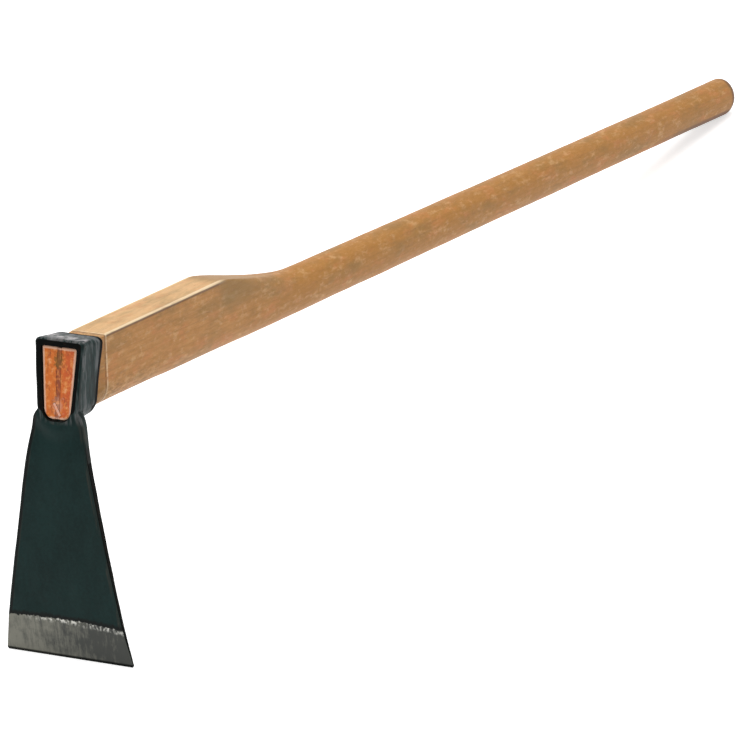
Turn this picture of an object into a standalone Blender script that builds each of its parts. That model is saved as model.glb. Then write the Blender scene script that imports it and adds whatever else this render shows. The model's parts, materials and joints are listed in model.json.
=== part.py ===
"""Tree planting hoe: a forged head wedged on an ash handle.

Metres, +Z up. The hoe lies as it does on the ground, on its cutting edge and its butt, with +X from the head
to the butt, and the origin is the bottom centre of its bounding box.

It is modelled along its handle first: X = 0 is the tongue's front at the height of the eye's top, Z = 0 the
handle's centre line, and Y = 0 the plane of symmetry. An empty then carries every piece to the lying position.
"""
import math
from dataclasses import dataclass, replace

import bmesh
import bpy
from mathutils import Vector

# Clearance between two pieces that touch
GAP = 0.0003

# Handle: a board of ash, rounded underneath, square at the block and oval at the grip
HANDLE_LENGTH = 0.9955
HANDLE_WIDTH = 0.0280
UNDERSIDE_DROP = 0.0170
BLOCK_FRONT_RISE = 0.0350
BLOCK_PEAK_RISE = 0.0364
BLOCK_EDGE = 0.0010
PEAK_X = 0.176
SCOOP_LENGTH = 0.124
GRIP_FRONT_HEIGHT = 0.0345
GRIP_BUTT_HEIGHT = 0.0306
BUTT_WIDTH = 0.0262
BUTT_ROUND = 0.0110

# Tongue: the front of the handle, cut down to pass through the eye
TONGUE_TOP_WIDTH = 0.0284
TONGUE_LOW_WIDTH = 0.0226
TONGUE_RISE = 0.0330
TONGUE_WAIST_DROP = 0.0087
TONGUE_ROUND = 0.0075
TONGUE_CORNER = 0.0012
TONGUE_PROUD = 0.0002
TONGUE_END_BEVEL = 0.0008
SIDE_RUN_IN = 0.0105
TOP_RUN_IN = 0.0120

# Eye: a tube round the tongue, leaning forwards at the bottom, whose front stands ahead of the blade
EYE_DEPTH = 0.0258
EYE_AHEAD = 0.0020
EYE_LEAN = math.radians(7.6)
EYE_FRONT_TOP_WALL = 0.0058
EYE_REAR_TOP_WALL = 0.0029
EYE_FRONT_SIDE_WALL = 0.0055
EYE_REAR_SIDE_WALL = 0.0034
EYE_FRONT_LOW_WALL = 0.0052
EYE_REAR_LOW_WALL = 0.0049
EYE_FRONT_BOTTOM_WALL = 0.0050
EYE_REAR_BOTTOM_WALL = 0.0032
EYE_WAIST_RISE = 0.0028
EYE_CORNER = 0.0040
EYE_EDGE = 0.0014

# Blade: flares from the eye to the cutting edge, arched forwards, with a spine behind its root
BLADE_LENGTH = 0.1676
BLADE_ROOT_WIDTH = 0.0424
BLADE_EDGE_WIDTH = 0.1042
BLADE_BEND_START = 0.0110
BLADE_BEND_LENGTH = 0.0140
BLADE_BEND_RADIUS = 0.1200
BLADE_ARCH_RADIUS = 1.3500
BLADE_RECESS = 0.0003
SHOULDER_HEIGHT = 0.0140
SHOULDER_CUT = 0.0055
BLADE_ROOT_THICKNESS = 0.0058
BLADE_LOW_THICKNESS = 0.0031
BLADE_SIDE_EASE = 0.0007
SPINE_THICKNESS = 0.0090
SPINE_HALF_WIDTH = 0.0150
SPINE_FADE = 0.0220
GROUND_HEIGHT = 0.0274
GROUND_ARCH = 0.0020
CUTTING_THICKNESS = 0.0008
CUTTING_CORNER = 0.0012

# Wedges in the end of the tongue
WOODEN_WEDGE_THICKNESS = 0.0030
WOODEN_WEDGE_TIP = 0.0007
WOODEN_WEDGE_DEPTH = 0.0215
WOODEN_WEDGE_INSET = 0.0006
STEEL_WEDGE_WIDTH = 0.0100
STEEL_WEDGE_THICKNESS = 0.0020
STEEL_WEDGE_TIP = 0.0005
STEEL_WEDGE_DEPTH = 0.0140
STEEL_WEDGE_SLANT = math.radians(31.0)
STEEL_WEDGE_Y = 0.0005
STEEL_WEDGE_ABOVE_BOTTOM = 0.0070

# How finely the curved forms are cut into facets
CORNER_STEPS = 7
SCOOP_STEPS = 14
GRIP_STEPS = 9
BUTT_STEPS = 5
EASE_STEPS = 3
BLADE_COLUMNS = 18
BLADE_ROWS = 20
GROUND_ROW_SHARES = (0.33, 0.66, 0.95, 1.0)

# How far a cutter reaches past what it cuts
OVERCUT = 0.0100

# How often the resting angle is worked out again from the point that then lies lowest
SETTLING_ROUNDS = 3


@dataclass(frozen=True)
class Section:
    """A cross-section of the handle or the eye, symmetric about Y = 0.

    The top is flat with quarter-ellipse corners, the sides run straight down to the waist, and quarter
    ellipses close the underside. Heights are measured from the handle's centre line.
    """

    half_top: float
    half_waist: float
    top: float
    waist: float
    bottom: float
    corner_across: float
    corner_down: float
    round_across: float

    def grown(self, amount):
        """Return the section with its outline moved outwards by an amount, or inwards if it is negative."""
        return Section(
            self.half_top + amount,
            self.half_waist + amount,
            self.top + amount,
            self.waist,
            self.bottom - amount,
            max(self.corner_across + amount, GAP),
            max(self.corner_down + amount, GAP),
            max(self.round_across + amount, GAP),
        )

    def outline(self):
        """Return the outline as (y, z) points, from the top's middle down the +Y side and up the other."""
        side = [(0.0, self.top)]
        for step in range(CORNER_STEPS + 1):
            turn = math.radians(90.0) * step / CORNER_STEPS
            across = self.half_top - self.corner_across * (1.0 - math.sin(turn))
            side.append((across, self.top - self.corner_down * (1.0 - math.cos(turn))))
        side.append(((self.half_top + self.half_waist) / 2, (self.top - self.corner_down + self.waist) / 2))
        for step in range(CORNER_STEPS + 1):
            turn = math.radians(90.0) * step / CORNER_STEPS
            across = self.half_waist - self.round_across * (1.0 - math.cos(turn))
            side.append((across, self.waist - (self.waist - self.bottom) * math.sin(turn)))
        side.append((0.0, self.bottom))
        return side + [(-y, z) for y, z in reversed(side[1:-1])]


def mix(start, end, share):
    """Return the number, or the section, that lies a share of the way from start to end."""
    if isinstance(start, Section):
        names = Section.__dataclass_fields__
        return Section(*(mix(getattr(start, name), getattr(end, name), share) for name in names))
    return start + (end - start) * share


def smooth(share):
    """Return a share from 0 to 1 eased at both ends."""
    share = min(max(share, 0.0), 1.0)
    return share * share * (3.0 - 2.0 * share)


def tongue_section():
    """Return the section of the tongue, which fits the eye: flat on top, narrower and rounded underneath."""
    return Section(
        half_top=TONGUE_TOP_WIDTH / 2,
        half_waist=TONGUE_LOW_WIDTH / 2,
        top=TONGUE_RISE,
        waist=-TONGUE_WAIST_DROP,
        bottom=-UNDERSIDE_DROP,
        corner_across=TONGUE_CORNER,
        corner_down=TONGUE_CORNER,
        round_across=TONGUE_ROUND,
    )


def block_section(rise):
    """Return the block's section: flat sides and a flat top at a given rise, over the rounded underside."""
    half = HANDLE_WIDTH / 2
    return Section(half, half, rise, 0.0, -UNDERSIDE_DROP, BLOCK_EDGE, BLOCK_EDGE, half)


def grip_section(width, height):
    """Return an oval section, centred on the handle's centre line."""
    half = width / 2
    return Section(half, half, height / 2, 0.0, -height / 2, half, height / 2, half)


def scoop_section(share):
    """Return the section a share of the way down the scoop, from the block's peak to the grip.

    The top falls in an easy curve, while its corners open, later, from the block's edge to the oval.
    """
    half = HANDLE_WIDTH / 2
    fallen = smooth(share)
    opened = fallen ** 2
    top = mix(BLOCK_PEAK_RISE, GRIP_FRONT_HEIGHT / 2, fallen)
    return Section(
        half_top=half,
        half_waist=half,
        top=top,
        waist=0.0,
        bottom=-mix(UNDERSIDE_DROP, GRIP_FRONT_HEIGHT / 2, fallen),
        corner_across=mix(BLOCK_EDGE, half, opened),
        corner_down=mix(BLOCK_EDGE, top, opened),
        round_across=half,
    )


def eye_section(share):
    """Return the eye's outer section at its front, at share 0, at its rear, at share 1, or between."""
    bore = tongue_section().grown(GAP)
    half_waist = bore.half_waist + mix(EYE_FRONT_LOW_WALL, EYE_REAR_LOW_WALL, share)
    return Section(
        half_top=bore.half_top + mix(EYE_FRONT_SIDE_WALL, EYE_REAR_SIDE_WALL, share),
        half_waist=half_waist,
        top=bore.top + mix(EYE_FRONT_TOP_WALL, EYE_REAR_TOP_WALL, share),
        waist=bore.waist + EYE_WAIST_RISE,
        bottom=bore.bottom - mix(EYE_FRONT_BOTTOM_WALL, EYE_REAR_BOTTOM_WALL, share),
        corner_across=EYE_CORNER,
        corner_down=EYE_CORNER,
        round_across=half_waist,
    )


def eye_top():
    """Return the height of the eye's front top edge, about which its ends lean."""
    return eye_section(0.0).top


def placed(section, x, lean=1.0):
    """Return a section's outline as points at a given x, in a plane with a share of the eye's lean."""
    slope = math.tan(EYE_LEAN) * lean
    return [Vector((x + slope * (z - eye_top()), y, z)) for y, z in section.outline()]


def loft(name, loops):
    """Make a closed mesh object through loops of equally many points, with a flat cap at each end."""
    mesh = bpy.data.meshes.new(name)
    shape = bmesh.new()
    rings = [[shape.verts.new(point) for point in loop] for loop in loops]
    for ring, following in zip(rings, rings[1:]):
        for i, vertex in enumerate(ring):
            before = i - 1
            shape.faces.new((ring[before], vertex, following[i], following[before]))
    shape.faces.new(rings[0])
    shape.faces.new(reversed(rings[-1]))
    bmesh.ops.remove_doubles(shape, verts=shape.verts, dist=0.00001)
    bmesh.ops.recalc_face_normals(shape, faces=shape.faces)
    shape.to_mesh(mesh)
    shape.free()
    return bpy.data.objects.new(name, mesh)


def material(name, colour, roughness, metallic):
    """Make a Principled material from a linear colour, a roughness and a metallic value."""
    made = bpy.data.materials.new(name)
    made.use_nodes = True
    shader = made.node_tree.nodes["Principled BSDF"]
    shader.inputs["Base Color"].default_value = (*colour, 1.0)
    shader.inputs["Roughness"].default_value = roughness
    shader.inputs["Metallic"].default_value = metallic
    made.diffuse_color = (*colour, 1.0)
    return made


def boolean(piece, cutter, operation):
    """Join a construction solid to a piece, or cut it from the piece."""
    modifier = piece.modifiers.new(cutter.name, "BOOLEAN")
    modifier.operation = operation
    modifier.solver = "EXACT"
    modifier.object = cutter


def shade(piece):
    """Shade a piece's rounds smooth and keep its edges."""
    piece.data.shade_smooth()
    piece.data.set_sharp_from_angle(angle=math.radians(30.0))


def make_handle():
    """Make the ash handle, from the tongue's painted end through block, scoop and grip to the butt."""
    tongue = tongue_section()
    side_end = EYE_DEPTH + SIDE_RUN_IN
    top_end = EYE_DEPTH + TOP_RUN_IN
    eye_rear = EYE_DEPTH + GAP
    loops = [
        placed(tongue.grown(-TONGUE_END_BEVEL), -TONGUE_PROUD),
        placed(tongue, TONGUE_END_BEVEL - TONGUE_PROUD),
        placed(tongue, eye_rear),
    ]
    side_share = (side_end - eye_rear) / (top_end - eye_rear)
    block_front = block_section(BLOCK_FRONT_RISE)
    run_in = replace(block_front, top=mix(TONGUE_RISE, BLOCK_FRONT_RISE, side_share))
    loops.append(placed(run_in, side_end, 1.0 - side_share))
    loops.append(placed(block_front, top_end, 0.0))
    loops.append(placed(block_section(BLOCK_PEAK_RISE), PEAK_X, 0.0))

    for step in range(1, SCOOP_STEPS + 1):
        share = step / SCOOP_STEPS
        loops.append(placed(scoop_section(share), PEAK_X + SCOOP_LENGTH * share, 0.0))

    grip_start = PEAK_X + SCOOP_LENGTH
    butt_round = min(BUTT_ROUND, 0.45 * BUTT_WIDTH)
    grip_end = HANDLE_LENGTH - butt_round
    for step in range(1, GRIP_STEPS + 1):
        share = step / GRIP_STEPS
        slimmed = 1.0 - (1.0 - share) ** 2
        width = mix(HANDLE_WIDTH, BUTT_WIDTH, slimmed)
        height = mix(GRIP_FRONT_HEIGHT, GRIP_BUTT_HEIGHT, slimmed)
        loops.append(placed(grip_section(width, height), mix(grip_start, grip_end, share), 0.0))

    butt = grip_section(BUTT_WIDTH, GRIP_BUTT_HEIGHT)
    for step in range(1, BUTT_STEPS + 1):
        turn = math.radians(90.0) * step / BUTT_STEPS
        section = butt.grown(-butt_round * (1.0 - math.cos(turn)))
        loops.append(placed(section, grip_end + butt_round * math.sin(turn), 0.0))
    return loft("handle", loops)


def make_eye():
    """Make the eye's outer body, with eased edges round its front and rear."""
    loops = []
    for step in range(EASE_STEPS + 1):
        turn = math.radians(90.0) * step / EASE_STEPS
        inset = EYE_EDGE * (1.0 - math.sin(turn))
        loops.append(placed(eye_section(0.0).grown(-inset), EYE_EDGE * (1.0 - math.cos(turn)) - EYE_AHEAD))
    for step in range(EASE_STEPS + 1):
        turn = math.radians(90.0) * (1.0 - step / EASE_STEPS)
        inset = EYE_EDGE * (1.0 - math.sin(turn))
        loops.append(placed(eye_section(1.0).grown(-inset), EYE_DEPTH - EYE_EDGE * (1.0 - math.cos(turn))))
    return loft("hoe_head", loops)


def make_bore():
    """Make the cutter for the hole that the tongue passes through, along the handle's centre line."""
    bore = tongue_section().grown(GAP)
    front = math.tan(EYE_LEAN) * (bore.bottom - eye_top()) - EYE_AHEAD - OVERCUT
    return loft("bore_cutter", [placed(bore, front, 0.0), placed(bore, EYE_DEPTH + OVERCUT, 0.0)])


class Blade:
    """The blade, as a surface that runs down from inside the eye's lower wall to the cutting edge.

    A point of its front is found by a distance down from the root's top and a share across, from -1 to 1. The
    front starts a little behind the eye's front, bends back below the eye and then follows a long arc.
    """

    def __init__(self):
        """Work out where the blade starts, how long it is, and the arcs of its front as lengths and turns."""
        self.top = eye_section(0.0).bottom + SHOULDER_HEIGHT
        self.shoulder = SHOULDER_HEIGHT / math.cos(EYE_LEAN)
        self.length = self.shoulder + BLADE_LENGTH
        self.start = Vector((math.tan(EYE_LEAN) * (self.top - eye_top()) + BLADE_RECESS, 0.0, self.top))
        straight = self.shoulder + BLADE_BEND_START
        rest = self.length - straight - BLADE_BEND_LENGTH
        self.arcs = ((straight, 0.0), (BLADE_BEND_LENGTH, BLADE_BEND_LENGTH / BLADE_BEND_RADIUS),
                     (rest, rest / BLADE_ARCH_RADIUS))

    def front(self, down):
        """Return the middle of the front, and the direction square to it into the blade, at a distance down.

        Each arc adds its chord, which lies half-way through the arc's turn.
        """
        point, lean = self.start.copy(), EYE_LEAN
        for length, turn in self.arcs:
            run = min(max(down, 0.0), length)
            turned = turn * run / length
            chord = run * math.sin(turned / 2) / (turned / 2) if turned else run
            point += chord * Vector((-math.sin(lean - turned / 2), 0.0, -math.cos(lean - turned / 2)))
            lean -= turned
            down -= length
        return point, Vector((math.cos(lean), 0.0, -math.sin(lean)))

    def half_width(self, down):
        """Return half the blade's width: straight sides, cut in at the shoulders and the cutting corners."""
        below_eye = (down - self.shoulder) / BLADE_LENGTH
        straight_side = mix(BLADE_ROOT_WIDTH / 2, BLADE_EDGE_WIDTH / 2, below_eye)
        shoulder = max(0.0, 1.0 - down / self.shoulder)
        corner = max(0.0, 1.0 - (self.length - down) / CUTTING_CORNER)
        return straight_side - SHOULDER_CUT * shoulder ** 3 - CUTTING_CORNER * corner

    def thickness(self, down, across):
        """Return the thickness: tapering down the blade, with a spine that fades out below the eye."""
        below_eye = max(down - self.shoulder, 0.0)
        tapered = min(below_eye / (BLADE_LENGTH - GROUND_HEIGHT), 1.0)
        plate = mix(BLADE_ROOT_THICKNESS, BLADE_LOW_THICKNESS, tapered)
        reach = across * self.half_width(down) / SPINE_HALF_WIDTH
        spine = SPINE_THICKNESS * math.exp(-below_eye / SPINE_FADE) * max(0.0, 1.0 - reach ** 2) ** 2
        return plate + spine

    def ground_start(self, across):
        """Return how far down the ground band starts, a little higher in the middle."""
        return self.length - GROUND_HEIGHT - GROUND_ARCH * (1.0 - across ** 2)

    def row(self, share, ground_share=0.0):
        """Return one closed loop round the blade, its front first.

        The share runs from the root's top to the ground band, and the ground share through that band.
        """
        half_row = []
        for column in range(BLADE_COLUMNS + 1):
            across = 2.0 * column / BLADE_COLUMNS - 1.0
            down = mix(self.ground_start(across) * share, self.length, ground_share)
            middle, inward = self.front(down)
            thickness = self.thickness(down, across)
            sunk = (thickness - CUTTING_THICKNESS) * ground_share
            side = Vector((0.0, across * self.half_width(down), 0.0))
            half_row.append((middle + side, inward, sunk, thickness))
        ease = min(BLADE_SIDE_EASE, 0.3 * (half_row[0][3] - half_row[0][2]))
        front_line = [point + inward * sunk for point, inward, sunk, _ in half_row]
        back_line = [point + inward * thickness for point, inward, _, thickness in half_row]
        for line, into in ((front_line, 1.0), (back_line, -1.0)):
            for end, outward in ((0, -1.0), (-1, 1.0)):
                rim = line[end] + half_row[end][1] * ease * into
                line[end] = line[end] - Vector((0.0, ease * outward, 0.0))
                line.insert(0 if end == 0 else len(line), rim)
        return front_line + back_line[::-1]

    def solid(self, ground_material):
        """Make the blade's closed solid, its ground band carrying the material of a given number."""
        loops = [self.row(row / BLADE_ROWS) for row in range(BLADE_ROWS + 1)]
        loops += [self.row(1.0, share) for share in GROUND_ROW_SHARES]
        blade = loft("blade_body", loops)
        around = len(loops[0])
        for face in blade.data.polygons:
            band, position = divmod(face.index, around)
            if BLADE_ROWS <= band < len(loops) - 1 and 1 < position < around // 2 - 1:
                face.material_index = ground_material
        return blade


def wedge(name, along, thickness, tip, depth, grow=0.0, ahead=0.0):
    """Make a wedge square to the tongue's end, or the cutter for its slot.

    Args:
        name: name of the object.
        along: the two ends of the wedge's middle line in the end face, as (y, z) points.
        thickness: thickness at the end face.
        tip: thickness at the deep end.
        depth: how far it reaches into the tongue from the end face.
        grow: clearance added all round, for a cutter.
        ahead: how far a cutter stands out in front of the end face.

    Returns:
        The wedge's object.
    """
    first, last = (Vector((0.0, y, z)) for y, z in along)
    run = (last - first).normalized()
    across = Vector((0.0, -run.z, run.y))
    first -= run * grow
    last += run * grow
    loops = []
    for x, thick in ((-ahead, thickness), (0.0, thickness), (depth + grow, tip)):
        half = across * (thick / 2 + grow)
        corners = (first + half, last + half, last - half, first - half)
        slope = math.tan(EYE_LEAN)
        loops.append([Vector((x - TONGUE_PROUD + slope * (p.z - eye_top()), p.y, p.z)) for p in corners])
    if not ahead:
        del loops[0]
    return loft(name, loops)


def wooden_wedge_line(beyond):
    """Return the wooden wedge's line, up the middle of the tongue's end and a distance beyond its outline."""
    return (0.0, TONGUE_RISE + beyond), (0.0, -UNDERSIDE_DROP - beyond)


def steel_wedge_line():
    """Return the steel wedge's line, slanting across the wooden wedge near the bottom of the tongue's end."""
    reach_y = STEEL_WEDGE_WIDTH / 2 * math.sin(STEEL_WEDGE_SLANT)
    reach_z = STEEL_WEDGE_WIDTH / 2 * math.cos(STEEL_WEDGE_SLANT)
    middle = STEEL_WEDGE_ABOVE_BOTTOM - UNDERSIDE_DROP
    return (STEEL_WEDGE_Y + reach_y, middle + reach_z), (STEEL_WEDGE_Y - reach_y, middle - reach_z)


def lie_down(carrier, pieces):
    """Turn and move the carrier so that the hoe rests on its cutting edge and its butt, over the origin."""
    bpy.context.view_layer.update()
    graph = bpy.context.evaluated_depsgraph_get()
    points = {piece.name: [v.co.copy() for v in piece.evaluated_get(graph).data.vertices] for piece in pieces}
    behind = [p for p in points["handle"] if p.x > PEAK_X]
    pitch = 0.0
    for _ in range(SETTLING_ROUNDS):
        edge = min(points["hoe_head"], key=lambda p: p.z * math.cos(pitch) - p.x * math.sin(pitch))
        pitch = min(math.atan2(p.z - edge.z, p.x - edge.x) for p in behind)
    carrier.rotation_euler = (0.0, pitch, 0.0)
    bpy.context.view_layer.update()
    resting = [carrier.matrix_world @ p for group in points.values() for p in group]
    lows = [min(p[axis] for p in resting) for axis in range(3)]
    highs = [max(p[axis] for p in resting) for axis in range(3)]
    carrier.location = (-(lows[0] + highs[0]) / 2, -(lows[1] + highs[1]) / 2, -lows[2])
    bpy.context.view_layer.update()


def main():
    """Build the hoe."""
    for old in list(bpy.data.objects):
        bpy.data.objects.remove(old)
    parts = bpy.data.collections.new("tree_planting_hoe")
    cutters = bpy.data.collections.new("construction")
    for collection in (parts, cutters):
        bpy.context.scene.collection.children.link(collection)

    forging_paint = material("forging_paint", (0.015, 0.027, 0.027), 0.45, 0.0)
    ground_steel = material("ground_steel", (0.16, 0.155, 0.135), 0.40, 1.0)
    ash = material("ash", (0.45, 0.25, 0.105), 0.55, 0.0)
    end_paint = material("end_paint", (0.60, 0.16, 0.045), 0.50, 0.0)
    wedge_steel = material("wedge_steel", (0.30, 0.28, 0.25), 0.45, 1.0)

    handle = make_handle()
    head = make_eye()
    wooden_wedge = wedge("wooden_wedge", wooden_wedge_line(-WOODEN_WEDGE_INSET), WOODEN_WEDGE_THICKNESS,
                         WOODEN_WEDGE_TIP, WOODEN_WEDGE_DEPTH)
    steel_wedge = wedge("steel_wedge", steel_wedge_line(), STEEL_WEDGE_THICKNESS, STEEL_WEDGE_TIP,
                        STEEL_WEDGE_DEPTH)
    pieces = {handle: (ash,), head: (forging_paint, ground_steel), wooden_wedge: (end_paint,),
              steel_wedge: (wedge_steel,)}

    blade = Blade().solid(ground_material=1)
    for used in pieces[head]:
        blade.data.materials.append(used)
    bore = make_bore()
    kerf = wedge("kerf_cutter", wooden_wedge_line(OVERCUT), WOODEN_WEDGE_THICKNESS, WOODEN_WEDGE_TIP,
                 WOODEN_WEDGE_DEPTH, grow=GAP, ahead=OVERCUT)
    slot = wedge("slot_cutter", steel_wedge_line(), STEEL_WEDGE_THICKNESS, STEEL_WEDGE_TIP,
                 STEEL_WEDGE_DEPTH, grow=GAP, ahead=OVERCUT)

    carrier = bpy.data.objects.new("handle_axis", None)
    parts.objects.link(carrier)
    for piece, materials in pieces.items():
        parts.objects.link(piece)
        piece.parent = carrier
        for used in materials:
            piece.data.materials.append(used)
    for cutter in (blade, bore, kerf, slot):
        cutters.objects.link(cutter)
        cutter.parent = carrier
        cutter.hide_render = True
        cutter.display_type = "WIRE"

    boolean(head, blade, "UNION")
    boolean(head, bore, "DIFFERENCE")
    boolean(handle, kerf, "DIFFERENCE")
    boolean(handle, slot, "DIFFERENCE")
    boolean(wooden_wedge, slot, "DIFFERENCE")
    for piece in pieces:
        shade(piece)
    lie_down(carrier, pieces)


main()
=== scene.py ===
"""Looks of a tree planting hoe: a painted forging with a ground edge, wedged on an ash handle.

The handle's own frame is used for every shape: X = 0 is the tongue's front at the height of the eye's top,
Z = 0 is the handle's centre line, and Y = 0 the plane of symmetry. Lie turns that frame to the resting one.
Lengths are in metres.
"""
from __future__ import annotations

import json
import logging
import math
from dataclasses import dataclass, field, replace
from enum import Enum
from typing import Any, Callable

import bmesh
import bpy
import numpy as np
from mathutils import Matrix, Vector

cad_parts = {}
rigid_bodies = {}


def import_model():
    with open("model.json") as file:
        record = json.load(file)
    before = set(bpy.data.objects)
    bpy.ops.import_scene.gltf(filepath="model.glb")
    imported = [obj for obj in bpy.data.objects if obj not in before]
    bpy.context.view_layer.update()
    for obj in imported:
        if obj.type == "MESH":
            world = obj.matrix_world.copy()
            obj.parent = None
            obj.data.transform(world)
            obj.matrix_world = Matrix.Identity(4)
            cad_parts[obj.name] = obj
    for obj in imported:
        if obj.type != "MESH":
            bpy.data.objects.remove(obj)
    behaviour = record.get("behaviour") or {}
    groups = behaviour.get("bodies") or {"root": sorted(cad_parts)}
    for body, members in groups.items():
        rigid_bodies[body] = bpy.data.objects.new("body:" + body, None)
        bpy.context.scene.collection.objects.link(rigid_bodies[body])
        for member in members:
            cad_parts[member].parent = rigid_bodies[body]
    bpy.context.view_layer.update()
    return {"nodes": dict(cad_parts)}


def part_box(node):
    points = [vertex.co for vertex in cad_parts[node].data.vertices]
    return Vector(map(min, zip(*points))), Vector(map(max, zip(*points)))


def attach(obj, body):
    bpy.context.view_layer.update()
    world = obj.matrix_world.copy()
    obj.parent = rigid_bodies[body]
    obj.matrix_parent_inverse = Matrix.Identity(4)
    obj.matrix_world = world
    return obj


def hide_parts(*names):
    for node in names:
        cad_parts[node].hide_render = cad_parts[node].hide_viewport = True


LOG = logging.getLogger("planting_hoe")

Array = np.ndarray
Colour = tuple[float, float, float]
Reach = tuple[float, float]

MERGE_DISTANCE = 2e-6
LEAST_SIZE = 1e-5
DECIMALS = 7
LEGS = 4
CORNERS = 4
SHARP_ANGLE = math.radians(35.0)
WAVE_LENGTHS = (0.6, 1.6)
WHITE: Colour = (1.0, 1.0, 1.0)
COLOUR_MIX_INPUTS, COLOUR_MIX_OUTPUT = (0, 6, 7), 2
MIRROR = slice(-2, 0, -1)


def mix(start: Any, end: Any, share: Any) -> Any:
    """Return start plus a share of the way to end, for numbers and arrays."""
    return start + (end - start) * share


def smooth(share: Any) -> Any:
    """Return the share held between 0 and 1 and eased at both ends: 3 s squared less 2 s cubed."""
    held = np.clip(share, 0.0, 1.0)
    return held * held * (3.0 - 2.0 * held)


def join(*parts: Array) -> Array:
    """Return the rising values of several arrays as one array without repeats."""
    return np.unique(np.round(np.concatenate(parts), DECIMALS))


def moved(reach: Reach, by: float) -> Reach:
    """Return a reach moved by a number."""
    return reach[0] + by, reach[1] + by


def legs(counts: tuple[int, ...], last: float = LEGS) -> Array:
    """Return places along an outline: each leg split evenly by a count, the last one perhaps cut short."""
    ends = [min(leg + 1.0, last) for leg in range(len(counts))]
    return join(*(np.linspace(leg, end, count) for leg, (end, count) in enumerate(zip(ends, counts))))


def quarter_turn(count: int) -> Array:
    """Return a count of angles from nothing to a right angle, one to a row."""
    return np.linspace(0.0, math.pi / 2, count)[:, None]


def both_halves(half: Array) -> Array:
    """Return the +Y half of a grid of points with its mirror image after it, without the columns at Y = 0."""
    return np.concatenate((half, half[:, MIRROR] * np.array([1.0, -1.0, 1.0])), axis=1)


@dataclass(frozen=True)
class Lie:
    """How the hoe lies: the handle's frame is pitched about Y and moved, as in the CAD."""

    pitch: float = math.radians(10.0)
    origin: tuple[float, float, float] = (-0.472746, 0.0, 0.186085)

    def place(self, points: Array) -> Array:
        """Return points of the handle's frame as resting points.

        x' = x cos p + z sin p + ox and z' = z cos p - x sin p + oz, with y kept.

        Args:
            points: places in the handle's frame.

        Returns:
            The same places as the hoe lies.
        """
        cos, sin = math.cos(self.pitch), math.sin(self.pitch)
        x, y, z = points[..., 0], points[..., 1], points[..., 2]
        turned = (x * cos + z * sin, y, z * cos - x * sin)
        return np.stack(turned, axis=-1) + np.array(self.origin)

    def mapping(self) -> dict[str, tuple[float, float, float]]:
        """Return the Mapping node's rotation and location that undo place.

        Returns:
            The values of the node's inputs, by name.
        """
        cos, sin = math.cos(self.pitch), math.sin(self.pitch)
        ox, oy, oz = self.origin
        return {"Rotation": (0.0, -self.pitch, 0.0),
                "Location": (sin * oz - cos * ox, -oy, -sin * ox - cos * oz)}


@dataclass(frozen=True)
class Outline:
    """Half a cross-section, from the middle of its top down its +Y side to the middle of its underside.

    Each size is a number, or an array with one value for each station, of shape (stations, 1).
    """

    half_top: Any
    half_waist: Any
    top: Any
    waist: Any
    bottom: Any
    corner_across: Any
    corner_down: Any
    round_across: Any
    turn_share: float = 1.0

    def grown(self, amount: Any) -> "Outline":
        """Return the outline moved outwards by an amount.

        Args:
            amount: how far, below zero for inwards.

        Returns:
            The moved outline.
        """
        return replace(
            self,
            half_top=self.half_top + amount,
            half_waist=self.half_waist + amount,
            top=self.top + amount,
            bottom=self.bottom - amount,
            corner_across=np.maximum(self.corner_across + amount, LEAST_SIZE),
            corner_down=np.maximum(self.corner_down + amount, LEAST_SIZE),
            round_across=np.maximum(self.round_across + amount, LEAST_SIZE),
        )

    def trace(self, u: Array) -> tuple[Array, Array]:
        """Return y and z along the half outline.

        From 0 to 1 the top runs level to its corner, from 1 to 2 a quarter ellipse turns the corner, from 2
        to 3 the side runs straight to the waist, and from 3 to 4 a quarter ellipse and a level run close it.

        Args:
            u: places along the outline, from 0 to 4.

        Returns:
            The arrays of y and of z.
        """
        leg = np.minimum(np.floor(u), LEGS - 1)
        share = u - leg
        turn = share * math.pi / 2
        under = np.minimum(share / self.turn_share, 1.0) * math.pi / 2
        left = 1.0 - self.turn_share
        level = np.clip((share - self.turn_share) / left, 0.0, 1.0) if left else 0.0
        flat = self.half_waist - self.round_across
        ys = [
            (self.half_top - self.corner_across) * share,
            self.half_top - self.corner_across * (1.0 - np.sin(turn)),
            mix(self.half_top, self.half_waist, share),
            (self.half_waist - self.round_across * (1.0 - np.cos(under))) - flat * level,
        ]
        zs = [
            self.top + 0.0 * share,
            self.top - self.corner_down * (1.0 - np.cos(turn)),
            mix(self.top - self.corner_down, self.waist, share),
            self.waist - (self.waist - self.bottom) * np.sin(under),
        ]
        on_leg = [leg == number for number in range(LEGS)]
        return np.select(on_leg, ys), np.select(on_leg, zs)

    def outward(self, u: Array, step: float = 1e-3) -> tuple[Array, Array]:
        """Return the outward direction at places along the outline: its run turned by a right angle.

        Args:
            u: places along the outline, from 0 to 4.
            step: how far to both sides its run is measured.

        Returns:
            The direction's y and z.
        """
        before, after = np.maximum(u - step, 0.0), np.minimum(u + step, LEGS)
        (y0, z0), (y1, z1) = self.trace(before), self.trace(after)
        across, down = y1 - y0, z1 - z0
        length = np.hypot(across, down)
        return -down / length, across / length


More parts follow.
